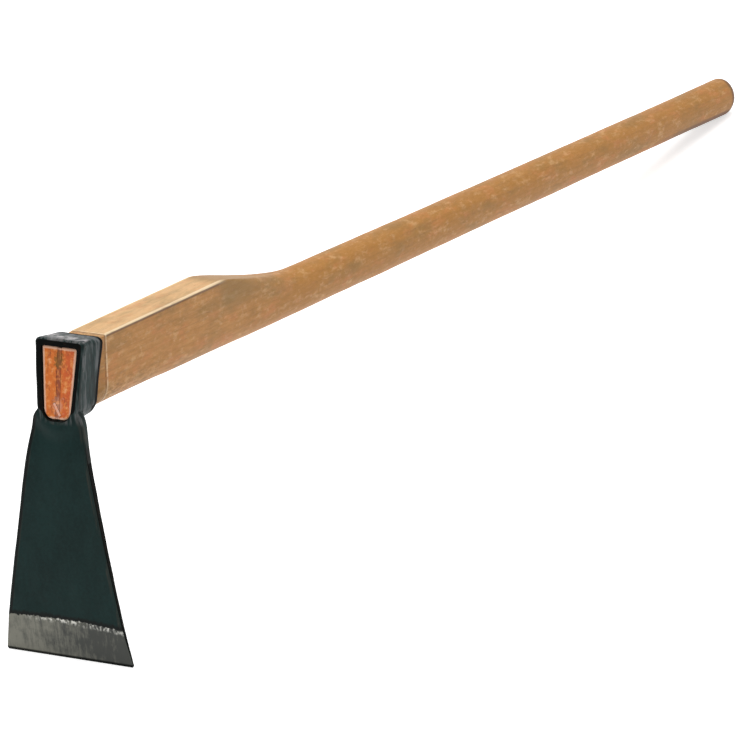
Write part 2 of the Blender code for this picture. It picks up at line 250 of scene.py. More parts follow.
@dataclass(frozen=True)
class EyeFit:
    """Sizes that the tongue and the eye share.

    A quarter of an ellipse is about arc_share of the sum of its two radii.
    """

    gap: float = 0.0003
    lean: float = math.radians(7.6)
    top_width: float = 0.0284
    low_width: float = 0.0226
    rise: float = 0.0330
    waist_drop: float = 0.0087
    underside_drop: float = 0.0170
    low_round: float = 0.0075
    arc_share: float = 0.785
    corner: float = 0.0012
    top_wall: float = 0.0058
    eye_rear: float = 0.0258
    ahead: float = 0.0020

    def tongue(self) -> Outline:
        """Return the tongue's half outline.

        Returns:
            The outline, with a number for each size.
        """
        flat = self.low_width / 2 - self.low_round
        turn = self.arc_share * (self.low_round + self.underside_drop - self.waist_drop)
        return Outline(self.top_width / 2, self.low_width / 2, self.rise, -self.waist_drop,
                       -self.underside_drop, self.corner, self.corner, self.low_round, turn / (turn + flat))

    def eye_top(self) -> float:
        """Return the height of the eye's front top edge, about which its ends lean."""
        return self.rise + self.gap + self.top_wall

    def leaned(self, z: Any) -> Any:
        """Return how far the leaning end plane stands back at a height: its tangent times the rise to it."""
        return math.tan(self.lean) * (z - self.eye_top())


def mesh_from_rows(name: str, rows: Array, keep: Array | None = None, around: bool = True,
                   wrap_rows: bool = False, fields: dict[str, Array] | None = None) -> bpy.types.Object:
    """Make an object from a grid of points, merging those that coincide.

    Args:
        name: the object's name.
        rows: points of shape (rows, columns, 3), already in their resting place.
        keep: which cells become faces, or None for all.
        around: whether the last column joins the first.
        wrap_rows: whether the last row joins the first.
        fields: a number for every point of the grid, by attribute name.

    Returns:
        The object, with its faces outwards and its edges over a sharp angle kept sharp.
    """
    count_rows, count_columns = rows.shape[:2]
    number = np.arange(count_rows * count_columns).reshape(count_rows, count_columns)
    lower = np.roll(number, -1, axis=0) if wrap_rows else number[1:]
    upper = number if wrap_rows else number[:-1]
    if around:
        next_upper, next_lower = np.roll(upper, -1, axis=1), np.roll(lower, -1, axis=1)
    else:
        upper, next_upper = upper[:, :-1], upper[:, 1:]
        lower, next_lower = lower[:, :-1], lower[:, 1:]
    cells = np.stack((upper, next_upper, next_lower, lower), axis=-1)
    cells = cells.reshape(-1, CORNERS) if keep is None else cells[keep]
    mesh = bpy.data.meshes.new(name)
    mesh.vertices.add(number.size)
    mesh.vertices.foreach_set("co", rows.reshape(-1).astype(np.float32))
    mesh.loops.add(cells.size)
    mesh.loops.foreach_set("vertex_index", cells.reshape(-1).astype(np.int32))
    mesh.polygons.add(len(cells))
    mesh.polygons.foreach_set("loop_start", np.arange(0, cells.size, CORNERS, dtype=np.int32))
    mesh.update(calc_edges=True)
    for label, values in (fields or {}).items():
        attribute = mesh.attributes.new(label, "FLOAT", "POINT")
        attribute.data.foreach_set("value", values.reshape(-1).astype(np.float32))
    body = bmesh.new()
    body.from_mesh(mesh)
    bmesh.ops.remove_doubles(body, verts=body.verts, dist=MERGE_DISTANCE)
    bmesh.ops.dissolve_degenerate(body, edges=body.edges, dist=MERGE_DISTANCE)
    loose = [vertex for vertex in body.verts if not vertex.link_faces]
    bmesh.ops.delete(body, geom=loose, context="VERTS")
    bmesh.ops.recalc_face_normals(body, faces=body.faces)
    open_edges = sum(1 for edge in body.edges if len(edge.link_faces) != 2)
    body.to_mesh(mesh)
    body.free()
    LOG.info("%s: %d faces, %d open edges", name, len(mesh.polygons), open_edges)
    finish_shading(mesh)
    made = bpy.data.objects.new(name, mesh)
    bpy.context.scene.collection.objects.link(made)
    return made


def finish_shading(mesh: bpy.types.Mesh) -> None:
    """Shade a mesh smooth, apart from its edges over a sharp angle."""
    mesh.shade_smooth()
    mesh.set_sharp_from_angle(angle=SHARP_ANGLE)


def ripple(points: Array, size: float, seed: int, waves: int = 9) -> Array:
    """Return a smooth uneven field between about -1 and 1: a sum of plane waves in mixed directions.

    Args:
        points: points of shape (..., 3).
        size: the mean length of a wave.
        seed: chooses the directions and phases.
        waves: how many waves are summed.

    Returns:
        One number for each point.
    """
    random = np.random.default_rng(seed)
    directions = random.normal(size=(waves, 3))
    directions /= np.linalg.norm(directions, axis=1, keepdims=True)
    lengths = size * random.uniform(*WAVE_LENGTHS, size=waves)
    phases = random.uniform(0.0, 2.0 * math.pi, size=waves)
    angles = points @ (directions / lengths[:, None]).T * 2.0 * math.pi + phases
    return np.sin(angles).sum(axis=-1) / math.sqrt(waves)


def read(mesh: bpy.types.Mesh, label: str) -> Array:
    """Return the vertices' places or normals, by the property's name, as an array of shape (vertices, 3).

    Args:
        mesh: the mesh.
        label: the property: co or normal.

    Returns:
        The array.
    """
    values = np.empty(len(mesh.vertices) * 3)
    mesh.vertices.foreach_get(label, values)
    return values.reshape(-1, 3)


def read_mark(mesh: bpy.types.Mesh, label: str) -> Array:
    """Return an attribute's number for each vertex.

    Args:
        mesh: the mesh.
        label: the attribute's name.

    Returns:
        The array.
    """
    values = np.empty(len(mesh.vertices))
    mesh.attributes[label].data.foreach_get("value", values)
    return values


def press_in(mesh: bpy.types.Mesh, depth: Array) -> None:
    """Move each vertex in along its normal by its own depth."""
    mesh.vertices.foreach_set("co", (read(mesh, "co") - read(mesh, "normal") * depth[:, None]).reshape(-1))
    mesh.update()


@dataclass(frozen=True)
class ToolMarks:
    """Shallow marks of a tool: the mean length, the seed and the depth of each sum of waves."""

    waves: tuple[tuple[float, int, float], ...]
    least: float = 0.0

    def depth(self, points: Array) -> Array:
        """Return the marks' depth at points: each sum of waves plus 1, times its depth, plus the least."""
        total = sum((1.0 + ripple(points, length, seed)) * depth for length, seed, depth in self.waves)
        return np.maximum(total + self.least, 0.0)


@dataclass(frozen=True)
class Noise:
    """A noise: its waves to the metre, in all directions or along each axis, and how fine and rough it is."""

    scale: float | tuple[float, float, float]
    detail: float = 3.0
    roughness: float = 0.6


@dataclass(frozen=True)
class Coat:
    """A colour laid over another while a value runs from one number to another, and its strength at most."""

    colour: Colour
    reach: Reach
    strength: float = 1.0
    eased: bool = False


def operator(operation: str, turned: bool = False) -> Callable[["Field", "Field | float"], "Field"]:
    """Return a method that puts a field and another value through a Math node.

    Args:
        operation: the node's operation.
        turned: whether the other value comes first.

    Returns:
        The method.
    """

    def method(self: "Field", other: "Field | float") -> "Field":
        """Return the result of both values."""
        values = (other, self) if turned else (self, other)
        return self.bench.node("ShaderNodeMath", {"operation": operation}, dict(enumerate(values)))

    return method


class Field:
    """A number or colour that varies over a surface: a node's output, with operators that add Math nodes."""

    def __init__(self, bench: "Bench", socket: bpy.types.NodeSocket) -> None:
        """Wrap an output socket of a bench's node tree."""
        self.bench = bench
        self.socket = socket

    __add__ = __radd__ = operator("ADD")
    __mul__ = __rmul__ = operator("MULTIPLY")
    __sub__, __rsub__ = operator("SUBTRACT"), operator("SUBTRACT", turned=True)
    __truediv__, __rtruediv__ = operator("DIVIDE"), operator("DIVIDE", turned=True)
    larger = operator("MAXIMUM")

    def math(self, operation: str) -> "Field":
        """Return this value by itself put through a Math node."""
        return self.bench.node("ShaderNodeMath", {"operation": operation}, {0: self})

    def __neg__(self) -> "Field":
        """Return this value with its sign turned."""
        return self * -1.0

    def __abs__(self) -> "Field":
        """Return this value without its sign."""
        return self.math("ABSOLUTE")

    def step(self, low: float, high: float) -> "Field":
        """Return an eased rise from 0 at low to 1 at high, or the reverse where low is the higher number.

        Args:
            low: where the result is 0.
            high: where the result is 1.

        Returns:
            The eased value.
        """
        rising = low < high
        inputs = {"Value": self, "From Min": min(low, high), "From Max": max(low, high),
                  "To Min": 0.0 if rising else 1.0, "To Max": 1.0 if rising else 0.0}
        return self.bench.node("ShaderNodeMapRange", {"interpolation_type": "SMOOTHSTEP"}, inputs)

    def spread(self, low: float, high: float) -> "Field":
        """Return this value spread so that low becomes 0 and high becomes 1, and held there."""
        return self.bench.node("ShaderNodeMapRange", None, {"Value": self, "From Min": low, "From Max": high})

    def beside(self, output: int | str) -> "Field":
        """Return another output of the same node."""
        return Field(self.bench, self.socket.node.outputs[output])


class Bench:
    """Where the nodes of one material or world are put together."""

    def __init__(self, owner: bpy.types.Material | bpy.types.World, shader: str = "Principled BSDF") -> None:
        """Start on a material's or a world's nodes, of which one is the named shader.

        Args:
            owner: the material or world.
            shader: its shader node's name.
        """
        owner.use_nodes = True
        self.owner = owner
        self.tree = owner.node_tree
        self.shader = self.tree.nodes[shader]

    def node(self, kind: str, settings: dict[str, Any] | None = None, sockets: dict[Any, Any] | None = None,
             output: int | str = 0) -> Field:
        """Add a node.

        Args:
            kind: the node's type.
            settings: its own settings, set first.
            sockets: values or fields for its inputs, by name or number.
            output: which output is returned, by name or number.

        Returns:
            The output as a field.
        """
        made = self.tree.nodes.new(kind)
        for label, value in (settings or {}).items():
            setattr(made, label, value)
        for label, value in (sockets or {}).items():
            self.feed(made.inputs[label], value)
        return Field(self, made.outputs[output])

    def feed(self, socket: bpy.types.NodeSocket, value: Any) -> None:
        """Link a field to a socket, or set a plain value on it.

        Args:
            socket: the input.
            value: a field, a colour or a number.
        """
        if isinstance(value, Field):
            self.tree.links.new(value.socket, socket)
        elif socket.type == "RGBA":
            socket.default_value = (*value[:3], 1.0)
        else:
            socket.default_value = value

    def blend(self, share: Field, first: Field | Colour, second: Field | Colour) -> Field:
        """Return two colours mixed by a share."""
        inputs = dict(zip(COLOUR_MIX_INPUTS, (share, first, second)))
        return self.node("ShaderNodeMix", {"data_type": "RGBA"}, inputs, COLOUR_MIX_OUTPUT)

    def lay(self, base: Field | Colour, value: Field, coat: Coat, *where: Field) -> Field:
        """Lay a coat over a base.

        Args:
            base: the colour below.
            value: the value that the coat's reach is measured on.
            coat: the coat.
            where: shares that each hold the coat back.

        Returns:
            The colour: the base mixed with the coat's by the product of all shares and the coat's strength.
        """
        share = value.step(*coat.reach) if coat.eased else value.spread(*coat.reach)
        for held in where:
            share = share * held
        return self.blend(share * coat.strength, base, coat.colour)

    def along_handle(self, lie: Lie) -> Field:
        """Return the surface's place in the handle's frame."""
        place = self.node("ShaderNodeTexCoord", output="Object")
        return self.node("ShaderNodeMapping", {"vector_type": "POINT"}, {"Vector": place, **lie.mapping()})

    def noise(self, place: Field, noise: Noise) -> Field:
        """Return a noise of about 0 to 1, centred on a half, over places that are stretched to its scale.

        Args:
            place: where the noise is read.
            noise: its scale, detail and roughness.

        Returns:
            The noise's value.
        """
        scale = noise.scale
        if isinstance(scale, tuple):
            place = self.node("ShaderNodeVectorMath", {"operation": "MULTIPLY"}, {0: place, 1: scale})
            scale = 1.0
        inputs = {"Vector": place, "Scale": scale, "Detail": noise.detail, "Roughness": noise.roughness}
        return self.node("ShaderNodeTexNoise", None, inputs)

    def attribute(self, label: str) -> Field:
        """Return a mesh attribute's number."""
        return self.node("ShaderNodeAttribute", {"attribute_name": label}, output="Fac")

    def parts(self, place: Field) -> tuple[Field, Field, Field]:
        """Return a vector's three numbers."""
        x = self.node("ShaderNodeSeparateXYZ", None, {0: place})
        return x, x.beside(1), x.beside(2)

    def seen(self) -> Field:
        """Return 1 for what the camera sees, straight or in a shiny or clear surface, and 0 otherwise."""
        camera = self.node("ShaderNodeLightPath", output="Is Camera Ray")
        return camera.larger(camera.beside("Is Glossy Ray")).larger(camera.beside("Is Transmission Ray"))

    def bump(self, height: Field, depth: float, strength: float) -> None:
        """Give the shader a bump from a height field and the depth in metres of one unit of it."""
        inputs = {"Height": height, "Distance": depth, "Strength": strength}
        self.feed(self.shader.inputs["Normal"], self.node("ShaderNodeBump", None, inputs))

    def finish(self, **inputs: Any) -> bpy.types.Material | bpy.types.World:
        """Set the shader's inputs, named with underscores for spaces, and return the material or world.

        Args:
            inputs: a value or field for each input.

        Returns:
            What the bench was started on.
        """
        for label, value in inputs.items():
            self.feed(self.shader.inputs[label.replace("_", " ")], value)
        return self.owner


class Grain(Enum):
    """Which piece of wood a finish is for."""

    HANDLE = "handle"
    WEDGE = "wooden_wedge"


@dataclass(frozen=True)
class Block:
    """Where the handle's block and butt lie, for its finish."""

    start_x: float
    start_rise: float
    peak_x: float
    peak_rise: float
    half_width: float
    butt_x: float

    def below_top(self, x: Field, z: Field) -> Field:
        """Return the depth below the block's straight top, which rises evenly from its start to its peak."""
        slope = (self.peak_rise - self.start_rise) / (self.peak_x - self.start_x)
        return (x - self.start_x) * slope + self.start_rise - z


@dataclass(frozen=True)
class AshFinish:
    """Oiled ash with its growth rings, pores and mottling, and the orange paint on the tongue's end.

    A reach on a noise runs between two of its values, and any other is a distance in metres.
    """

    lie: Lie
    fit: EyeFit
    block: Block
    grain: Grain

    pale: Colour = (0.585, 0.285, 0.090)
    tan: Colour = (0.445, 0.198, 0.050)
    gold: Colour = (0.415, 0.186, 0.036)
    olive: Colour = (0.265, 0.160, 0.050)
    brown: Colour = (0.230, 0.105, 0.036)
    warm: Colour = (0.620, 0.225, 0.078)
    straw: Colour = (0.750, 0.475, 0.226)
    cream: Colour = (0.950, 0.760, 0.500)
    dark: Colour = (0.120, 0.050, 0.018)
    orange: Colour = (0.760, 0.185, 0.036)
    red: Colour = (0.640, 0.095, 0.045)
    glow: Colour = (0.900, 0.330, 0.085)
    burnt: Colour = (0.260, 0.075, 0.045)
    moss: Colour = (0.200, 0.125, 0.030)
    rim: Colour = (0.980, 0.600, 0.420)

    pith: tuple[float, float] = (0.021, -0.034)
    pith_slope: float = 0.012
    ring_width: float = 0.0034
    ring_drift: Noise = Noise((3.2, 14.0, 14.0))
    drift_distance: float = 0.030
    drift_rings: float = 3.0
    ring_rise: Reach = (0.55, 0.96)
    ring_fall: Reach = (1.0, 0.97)

    streaks: Noise = Noise((30.0, 330.0, 330.0), 4.0, 0.65)
    pale_streaks: Coat = Coat(pale, (0.18, 0.82))
    pores: Noise = Noise((120.0, 1900.0, 1900.0), 2.0, 0.5)
    pore_reach: Reach = (0.58, 0.70)
    pore_strength: float = 0.12
    ring_pore_strength: float = 0.18
    ring_strength: float = 0.11
    oiled_grip: Coat = Coat(gold, (0.190, 0.300), 0.62, eased=True)
    # Painted light: the block's top is laid paler than its sides, for the light from above.
    painted_top_light: Coat = Coat(straw, (0.0016, 0.0004), 0.80, eased=True)
    top_light_end: Reach = (0.2040, 0.1880)
    top_light_wander: float = 0.010
    mottling: tuple[tuple[Noise, Coat], ...] = (
        (Noise((34.0, 85.0, 85.0), 4.0, 0.65), Coat(warm, (0.52, 0.72), 0.62)),
        (Noise((21.0, 60.0, 60.0)), Coat(olive, (0.50, 0.34), 0.48)),
        (Noise((95.0, 190.0, 190.0), 3.0, 0.65), Coat(straw, (0.54, 0.72), 0.46)),
    )

    specks: Noise = Noise((170.0, 460.0, 460.0), 3.0, 0.65)
    foot_slope: float = 0.12
    foot_height: Reach = (0.016, -0.010)
    foot_length: Reach = (0.150, 0.030)
    # Each coat's own strength is for the foot of the block's side, and the number after it for the rest.
    speckling: tuple[tuple[Coat, float], ...] = (
        (Coat(straw, (0.51, 0.63), 0.55), 0.10),
        (Coat(brown, (0.48, 0.38), 0.60), 0.12),
    )
    run_in_specks: Coat = Coat(brown, (0.42, 0.58), 0.45)
    run_in_end: Reach = (0.0005, -0.0020)
    # Painted shade: the scoop's top just past the peak, which falls away from the light, is laid darker olive.
    shoulder: Coat = Coat(olive, (0.199, 0.215), 0.62, eased=True)
    shoulder_slope: float = 0.5
    shoulder_wander: float = 0.012
    shoulder_end: Reach = (0.275, 0.215)
    shoulder_height: Reach = (0.007, 0.022)

    before_block: Reach = (-0.004, -0.001)
    past_peak: Reach = (0.011, -0.006)
    # Painted highlight: a pale cream line along the block's top edges.
    painted_edge_highlight: Coat = Coat(cream, (0.0032, 0.0012), 0.85, eased=True)
    edge_highlight_breaks: Reach = (0.20, 0.50)
    beneath_edge: Coat = Coat(dark, (0.0009, 0.0013), 0.80, eased=True)
    beneath_end: Reach = (0.0032, 0.0021)
    beneath_side: Reach = (0.0009, 0.0004)
    # Where the run-in ends: a dark line of painted shadow in the step, and nearer the block a cream line of
    # painted highlight.
    shoulder_lines: tuple[tuple[float, Coat], ...] = (
        (0.0034, Coat(dark, (0.0011, 0.0004), 0.50, eased=True)),
        (0.0016, Coat(cream, (0.0011, 0.0004), 0.50, eased=True)),
    )
    line_breaks: Reach = (0.30, 0.55)
    butt_strength: float = 0.88
    butt_line: Reach = (-0.0128, -0.0080)
    butt_ragged: Reach = (0.2, 0.8)
    butt_wander: float = 0.002
    end_grain: Reach = (-0.0040, -0.0010)
    end_grain_loss: float = 0.55
    heel_height: Reach = (-0.0055, -0.0098)
    heel_length: Reach = (0.830, 0.940)

    paint_edge: Noise = Noise(900.0, 2.0, 0.5)
    paint_wander: float = 0.0008
    paint_depth: Reach = (0.0011, 0.0004)
    brushing: Noise = Noise((1.0, 300.0, 130.0))
    spots: Noise = Noise(300.0, 4.0, 0.65)
    red_side: Coat = Coat(red, (0.003, -0.009), 0.55, eased=True)
    burnt_strokes: Coat = Coat(burnt, (0.47, 0.32), 0.60)
    bright_spots: Coat = Coat(glow, (0.48, 0.62), 0.90)
    pale_spots: Coat = Coat(rim, (0.60, 0.72), 0.60)
    burnt_line: Coat = Coat(burnt, (0.0030, 0.0008), 0.80, eased=True)
    burnt_breaks: Reach = (0.62, 0.40)
    burnt_wander: float = 0.004
    blots: tuple[tuple[float, Coat], ...] = (
        (0.0240, Coat(moss, (0.0044, 0.0022), 0.70, eased=True)),
        (-0.0075, Coat(rim, (0.0044, 0.0022), 0.35, eased=True)),
    )
    blot_flatness: float = 0.40
    blot_wander: float = 0.011
    rim_edge: Noise = Noise(480.0, 2.0, 0.5)
    rim_wander: float = 0.0012
    pale_rim: Coat = Coat(rim, (-0.0018, -0.0006), 0.90, eased=True)
    wedge_fibres: Noise = Noise(420.0, 3.0, 0.55)
    burnt_wedge: Coat = Coat(burnt, (0.35, 0.60), 0.45)

    sheen: Noise = Noise(160.0)
    roughness: float = 0.40
    sheen_depth: float = 0.16
    paint_roughness: float = 0.08
    streak_height: float = 0.5
    pore_height: float = 0.5
    ring_height: float = 0.25
    bump_depth: float = 0.00018
    bump_strength: float = 0.6
    specular: float = 0.19

    def rings(self, bench: Bench, place: Field) -> Field:
        """Return the share of a growth ring, from the distance to the pith with a slow drift along it.

        Args:
            bench: the material's bench.
            place: the surface's place in the handle's frame.

        Returns:
            The share, from 0 to 1 across each ring.
        """
        x, y, z = bench.parts(place)
        drift = bench.noise(place, self.ring_drift) - 0.5
        across = y - self.pith[0] + drift * self.drift_distance
        up = z - self.pith[1] + x * self.pith_slope
        distance = (across * across + up * up).math("SQRT")
        return (distance / self.ring_width + drift * self.drift_rings).math("FRACT")

    def wood_colour(self, bench: Bench, place: Field) -> tuple[Field, Field]:
        """Return the wood's colour and its height field.

        Short streaks, growth rings and pores run along the board. Over them lie warm, olive and pale patches.
        The grip is oiled to a deeper gold. The block's top is laid paler as painted light from above, and the
        scoop's top just past the peak darker olive as painted shade.

        Args:
            bench: the material's bench.
            place: the surface's place in the handle's frame.

        Returns:
            The colour and the height.
        """
        x, y, z = bench.parts(place)
        ring = self.rings(bench, place)
        early = ring.step(*self.ring_rise) * ring.step(*self.ring_fall)
        streak = bench.noise(place, self.streaks)
        pores = bench.noise(place, self.pores).step(*self.pore_reach)
        base = bench.lay(self.tan, streak, self.pale_streaks)
        base = bench.lay(base, x, self.oiled_grip)
        # Painted light from above: the block's straight top is laid paler up to just past the peak.
        top_end = (x + streak * self.top_light_wander).step(*self.top_light_end)
        base = bench.lay(base, self.block.below_top(x, z), self.painted_top_light, top_end)
        for noise, coat in self.mottling:
            base = bench.lay(base, bench.noise(place, noise), coat)
        specks = bench.noise(place, self.specks)
        foot = (x * self.foot_slope + z).step(*self.foot_height) * x.step(*self.foot_length)
        for coat, elsewhere in self.speckling:
            share = specks.spread(*coat.reach) * (foot * coat.strength + elsewhere)
            base = bench.blend(share, base, coat.colour)
        run_in = x.step(*moved(self.run_in_end, self.block.start_x))
        base = bench.lay(base, specks, self.run_in_specks, run_in)
        # Painted shade on the scoop's top just past the peak.
        slanting = x + z * self.shoulder_slope + streak * self.shoulder_wander
        base = bench.lay(base, slanting, self.shoulder, x.step(*self.shoulder_end),
                         z.step(*self.shoulder_height))
        base = bench.blend(early * self.ring_strength, base, self.brown)
        base = bench.blend(pores * (early * self.ring_pore_strength + self.pore_strength), base, self.brown)
        base = self.edges(bench, base, (x, y, z), streak)
        return base, streak * self.streak_height - pores * self.pore_height - early * self.ring_height

    def edges(self, bench: Bench, base: Field, place: tuple[Field, Field, Field], streak: Field) -> Field:
        """Return the colour with painted highlights along the block's top edges, dark lines beneath them, a
        painted shadow line and a painted highlight line where the run-in ends, and the dark butt.

        Args:
            bench: the material's bench.
            base: the wood's colour.
            place: the place's three numbers.
            streak: the streaks' noise.

        Returns:
            The colour.
        """
        x, y, z = place
        down, inside = self.block.below_top(x, z), self.block.half_width - abs(y)
        on_block = (x.step(*moved(self.before_block, self.block.start_x))
                    * x.step(*moved(self.past_peak, self.block.peak_x)))
        # Painted highlight along the block's top edges.
        base = bench.lay(base, down + inside, self.painted_edge_highlight, streak.spread(*self.edge_highlight_breaks), on_block)
        base = bench.lay(base, down, self.beneath_edge, down.step(*self.beneath_end),
                         inside.step(*self.beneath_side), on_block)
        # A painted shadow line and a painted highlight line where the run-in ends.
        for ahead, coat in self.shoulder_lines:
            from_line = abs(x - (self.block.start_x - ahead))
            base = bench.lay(base, from_line, coat, streak.spread(*self.line_breaks))
        ragged = streak.spread(*self.butt_ragged) * self.butt_wander
        end_grain = 1.0 - x.step(*moved(self.end_grain, self.block.butt_x)) * self.end_grain_loss
        butt = (x + ragged).step(*moved(self.butt_line, self.block.butt_x)) * end_grain
        heel = (z + ragged).step(*self.heel_height) * x.step(*self.heel_length)
        return bench.blend(butt.larger(heel) * self.butt_strength, base, self.dark)

    def paint_share(self, bench: Bench, place: Field) -> Field:
        """Return where the orange end paint lies: within a ragged distance of the leaning end plane.

        Args:
            bench: the material's bench.
            place: the surface's place in the handle's frame.

        Returns:
            1 under the paint and 0 elsewhere.
        """
        x, _, z = bench.parts(place)
        ragged = bench.noise(place, self.paint_edge) * self.paint_wander
        return (x - self.fit.leaned(z) - ragged).step(*self.paint_depth)

    def from_rim(self, y: Field, z: Field) -> Field:
        """Return how far a place lies outside the tongue's outline, below zero within it.

        Args:
            y: the place across.
            z: the place up.

        Returns:
            The distance.
        """
        inner = self.fit.tongue()
        slope = (inner.half_top - inner.half_waist) / (inner.top - inner.waist)
        side = mix(inner.half_top, inner.half_waist, 0.5)
        from_side = abs(y) - (z - (inner.top + inner.waist) / 2) * slope - side
        return from_side.larger(z - inner.top).larger(-(z + self.fit.underside_drop))

    def paint_colour(self, bench: Bench, place: Field) -> Field:
        """Return the paint's colour: brushed thin, burnt near the wedge and paler near the tongue's outline.

        Args:
            bench: the material's bench.
            place: the surface's place in the handle's frame.

        Returns:
            The colour.
        """
        _, y, z = bench.parts(place)
        spots = bench.noise(place, self.spots)
        colour = bench.lay(self.orange, y, self.red_side)
        colour = bench.lay(colour, bench.noise(place, self.brushing), self.burnt_strokes)
        colour = bench.lay(colour, spots, self.bright_spots)
        colour = bench.lay(colour, spots, self.pale_spots)
        from_wedge = abs((spots - 0.5) * self.burnt_wander + y)
        colour = bench.lay(colour, from_wedge, self.burnt_line, spots.spread(*self.burnt_breaks))
        for height, coat in self.blots:
            up = z - height
            away = (up * up * self.blot_flatness + y * y).math("SQRT") + (spots - 0.5) * self.blot_wander
            colour = bench.lay(colour, away, coat)
        wobble = bench.noise(place, self.rim_edge) * self.rim_wander
        return bench.lay(colour, self.from_rim(y, z) + wobble, self.pale_rim)

    def material(self, name: str) -> bpy.types.Material:
        """Return the finished material.

        Args:
            name: the material's name.

        Returns:
            The material.
        """
        bench = Bench(bpy.data.materials.new(name))
        place = bench.along_handle(self.lie)
        wood, height = self.wood_colour(bench, place)
        painted = self.paint_share(bench, place)
        paint = self.paint_colour(bench, place)
        if self.grain is Grain.WEDGE:
            paint = bench.lay(paint, bench.noise(place, self.wedge_fibres), self.burnt_wedge)
        bench.bump(height, self.bump_depth, self.bump_strength)
        rough = bench.noise(place, self.sheen) * self.sheen_depth + self.roughness
        return bench.finish(Base_Color=bench.blend(painted, wood, paint), Specular_IOR_Level=self.specular,
                            Roughness=rough + painted * self.paint_roughness)


@dataclass(frozen=True)
class ForgingFinish:
    """Dark green-black paint over hammered steel, ground bare at the cutting edge.

    A reach on a noise or on the rim's mark runs between two of its values, and any other is in metres.
    """

    lie: Lie
    fit: EyeFit

    paint: Colour = (0.0028, 0.0148, 0.0136)
    thin_paint: Colour = (0.0064, 0.0250, 0.0232)
    black: Colour = (0.0015, 0.0025, 0.0020)
    # Painted light: the pale grey laid over the eye's top.
    painted_eye_top_light: Colour = (0.600, 0.555, 0.560)
    streaked: Colour = (0.140, 0.146, 0.150)
    rubbed: Colour = (0.055, 0.047, 0.036)
    steel: Colour = (0.142, 0.140, 0.118)
    dull_steel: Colour = (0.052, 0.054, 0.050)
    bright: Colour = (0.750, 0.740, 0.680)

    broad: Noise = Noise((40.0, 40.0, 22.0))
    runs: Noise = Noise((260.0, 260.0, 34.0))
    mottle: Noise = Noise(420.0, 4.0, 0.65)
    broad_share: float = 0.6
    mottle_share: float = 0.4
    thin_places: Coat = Coat(thin_paint, (0.40, 0.62))
    on_eye: Reach = (-0.0205, -0.0160)
    grey_runs: Coat = Coat(streaked, (0.48, 0.62), 0.66)
    black_runs: Coat = Coat(black, (0.46, 0.38), 0.90)
    beside_rim: Coat = Coat(rubbed, (0.02, 0.30), 0.45, eased=True)
    beside_rim_end: Reach = (0.75, 0.40)
    beside_rim_breaks: Reach = (0.44, 0.62)
    # Black near the rims, more on the far (+Y) side: partly painted shade on edges turned away from the light.
    black_rim: Coat = Coat(black, (0.52, 0.80), 0.97, eased=True)
    far_side: Reach = (-0.001, 0.001)
    far_rim: float = 0.34

    # Painted light over the eye's top: pale patches, strongest behind the front.
    eye_top_light_patches: Noise = Noise((110.0, 190.0, 90.0), 4.0, 0.7)
    eye_top_light_reach: Reach = (0.45, 0.58)
    eye_top_light_band: Reach = (-0.0024, -0.0010)
    eye_top_light_start: Reach = (-0.001, 0.010)
    eye_top_light_rise: float = 0.62
    eye_top_light_least: float = 0.22
    # Painted highlight: a pale streaked line on the eye just before its rear edge.
    painted_rear_highlight: Coat = Coat(streaked, (0.0165, 0.0195), 0.45, eased=True)
    rear_highlight_end: Reach = (0.0225, 0.0205)
    rear_highlight_breaks: Reach = (0.42, 0.60)
    rear_highlight_wander: float = 0.005

    grinding_streaks: Noise = Noise((70.0, 420.0, 55.0), 4.0, 0.7)
    clouds: Noise = Noise((90.0, 90.0, 90.0), 4.0, 0.7)
    streak_share: float = 0.55
    cloud_share: float = 0.55
    brighter_across: float = 4.0
    duller: float = 0.09
    clear_steel: Coat = Coat(steel, (0.36, 0.62))
    flecks: Noise = Noise((300.0, 360.0, 300.0))
    bright_flecks: Coat = Coat(bright, (0.44, 0.66), 0.62, eased=True)
    fleck_start: Reach = (-0.0001, 0.0006)
    fleck_end: Reach = (0.0048, 0.0008)
    fleck_side: Reach = (0.040, 0.005)
    dark_edge: Coat = Coat(black, (0.0026, 0.0014), 0.92, eased=True)

    line_edge: Noise = Noise((300.0, 420.0, 150.0), 4.0, 0.7)
    line_wander: float = 0.0052
    bare_reach: Reach = (-0.0002, 0.0002)
    above_line: Coat = Coat(black, (-0.0040, -0.0014), 0.95, eased=True)
    hammering: Noise = Noise(95.0, 3.0, 0.5)
    grinding: Noise = Noise((60.0, 900.0, 40.0))
    roughness: float = 0.30
    mottle_roughness: float = 0.20
    bare_roughness: float = 0.02
    hammer_height: float = 1.6
    mottle_height: float = 0.35
    mottle_ground_off: float = 0.30
    grinding_height: float = 0.30
    paint_height: float = 0.5
    bump_depth: float = 0.00022
    bump_strength: float = 0.55
    specular: float = 0.11

    def paint_colour(self, bench: Bench, place: Field, mottled: Field) -> Field:
        """Return the paint's colour: uneven, black at the mouth and rims, partly as painted shade, with painted
        light over the eye's top and a painted highlight line before its rear.

        Args:
            bench: the material's bench.
            place: the surface's place in the handle's frame.
            mottled: the mottling's noise.

        Returns:
            The colour.
        """
        x, y, z = bench.parts(place)
        runs = bench.noise(place, self.runs)
        uneven = bench.noise(place, self.broad) * self.broad_share + mottled * self.mottle_share
        colour = bench.lay(self.paint, uneven, self.thin_places)
        on_eye = z.step(*self.on_eye)
        colour = bench.lay(colour, runs, self.grey_runs, on_eye)
        colour = bench.lay(colour, runs, self.black_runs, on_eye)
        rim = bench.attribute("rim")
        colour = bench.lay(colour, rim, self.beside_rim, rim.step(*self.beside_rim_end),
                           runs.spread(*self.beside_rim_breaks))
        # Black near the rims, partly painted shade, more on the far (+Y) side.
        colour = bench.lay(colour, rim + y.step(*self.far_side) * self.far_rim, self.black_rim)
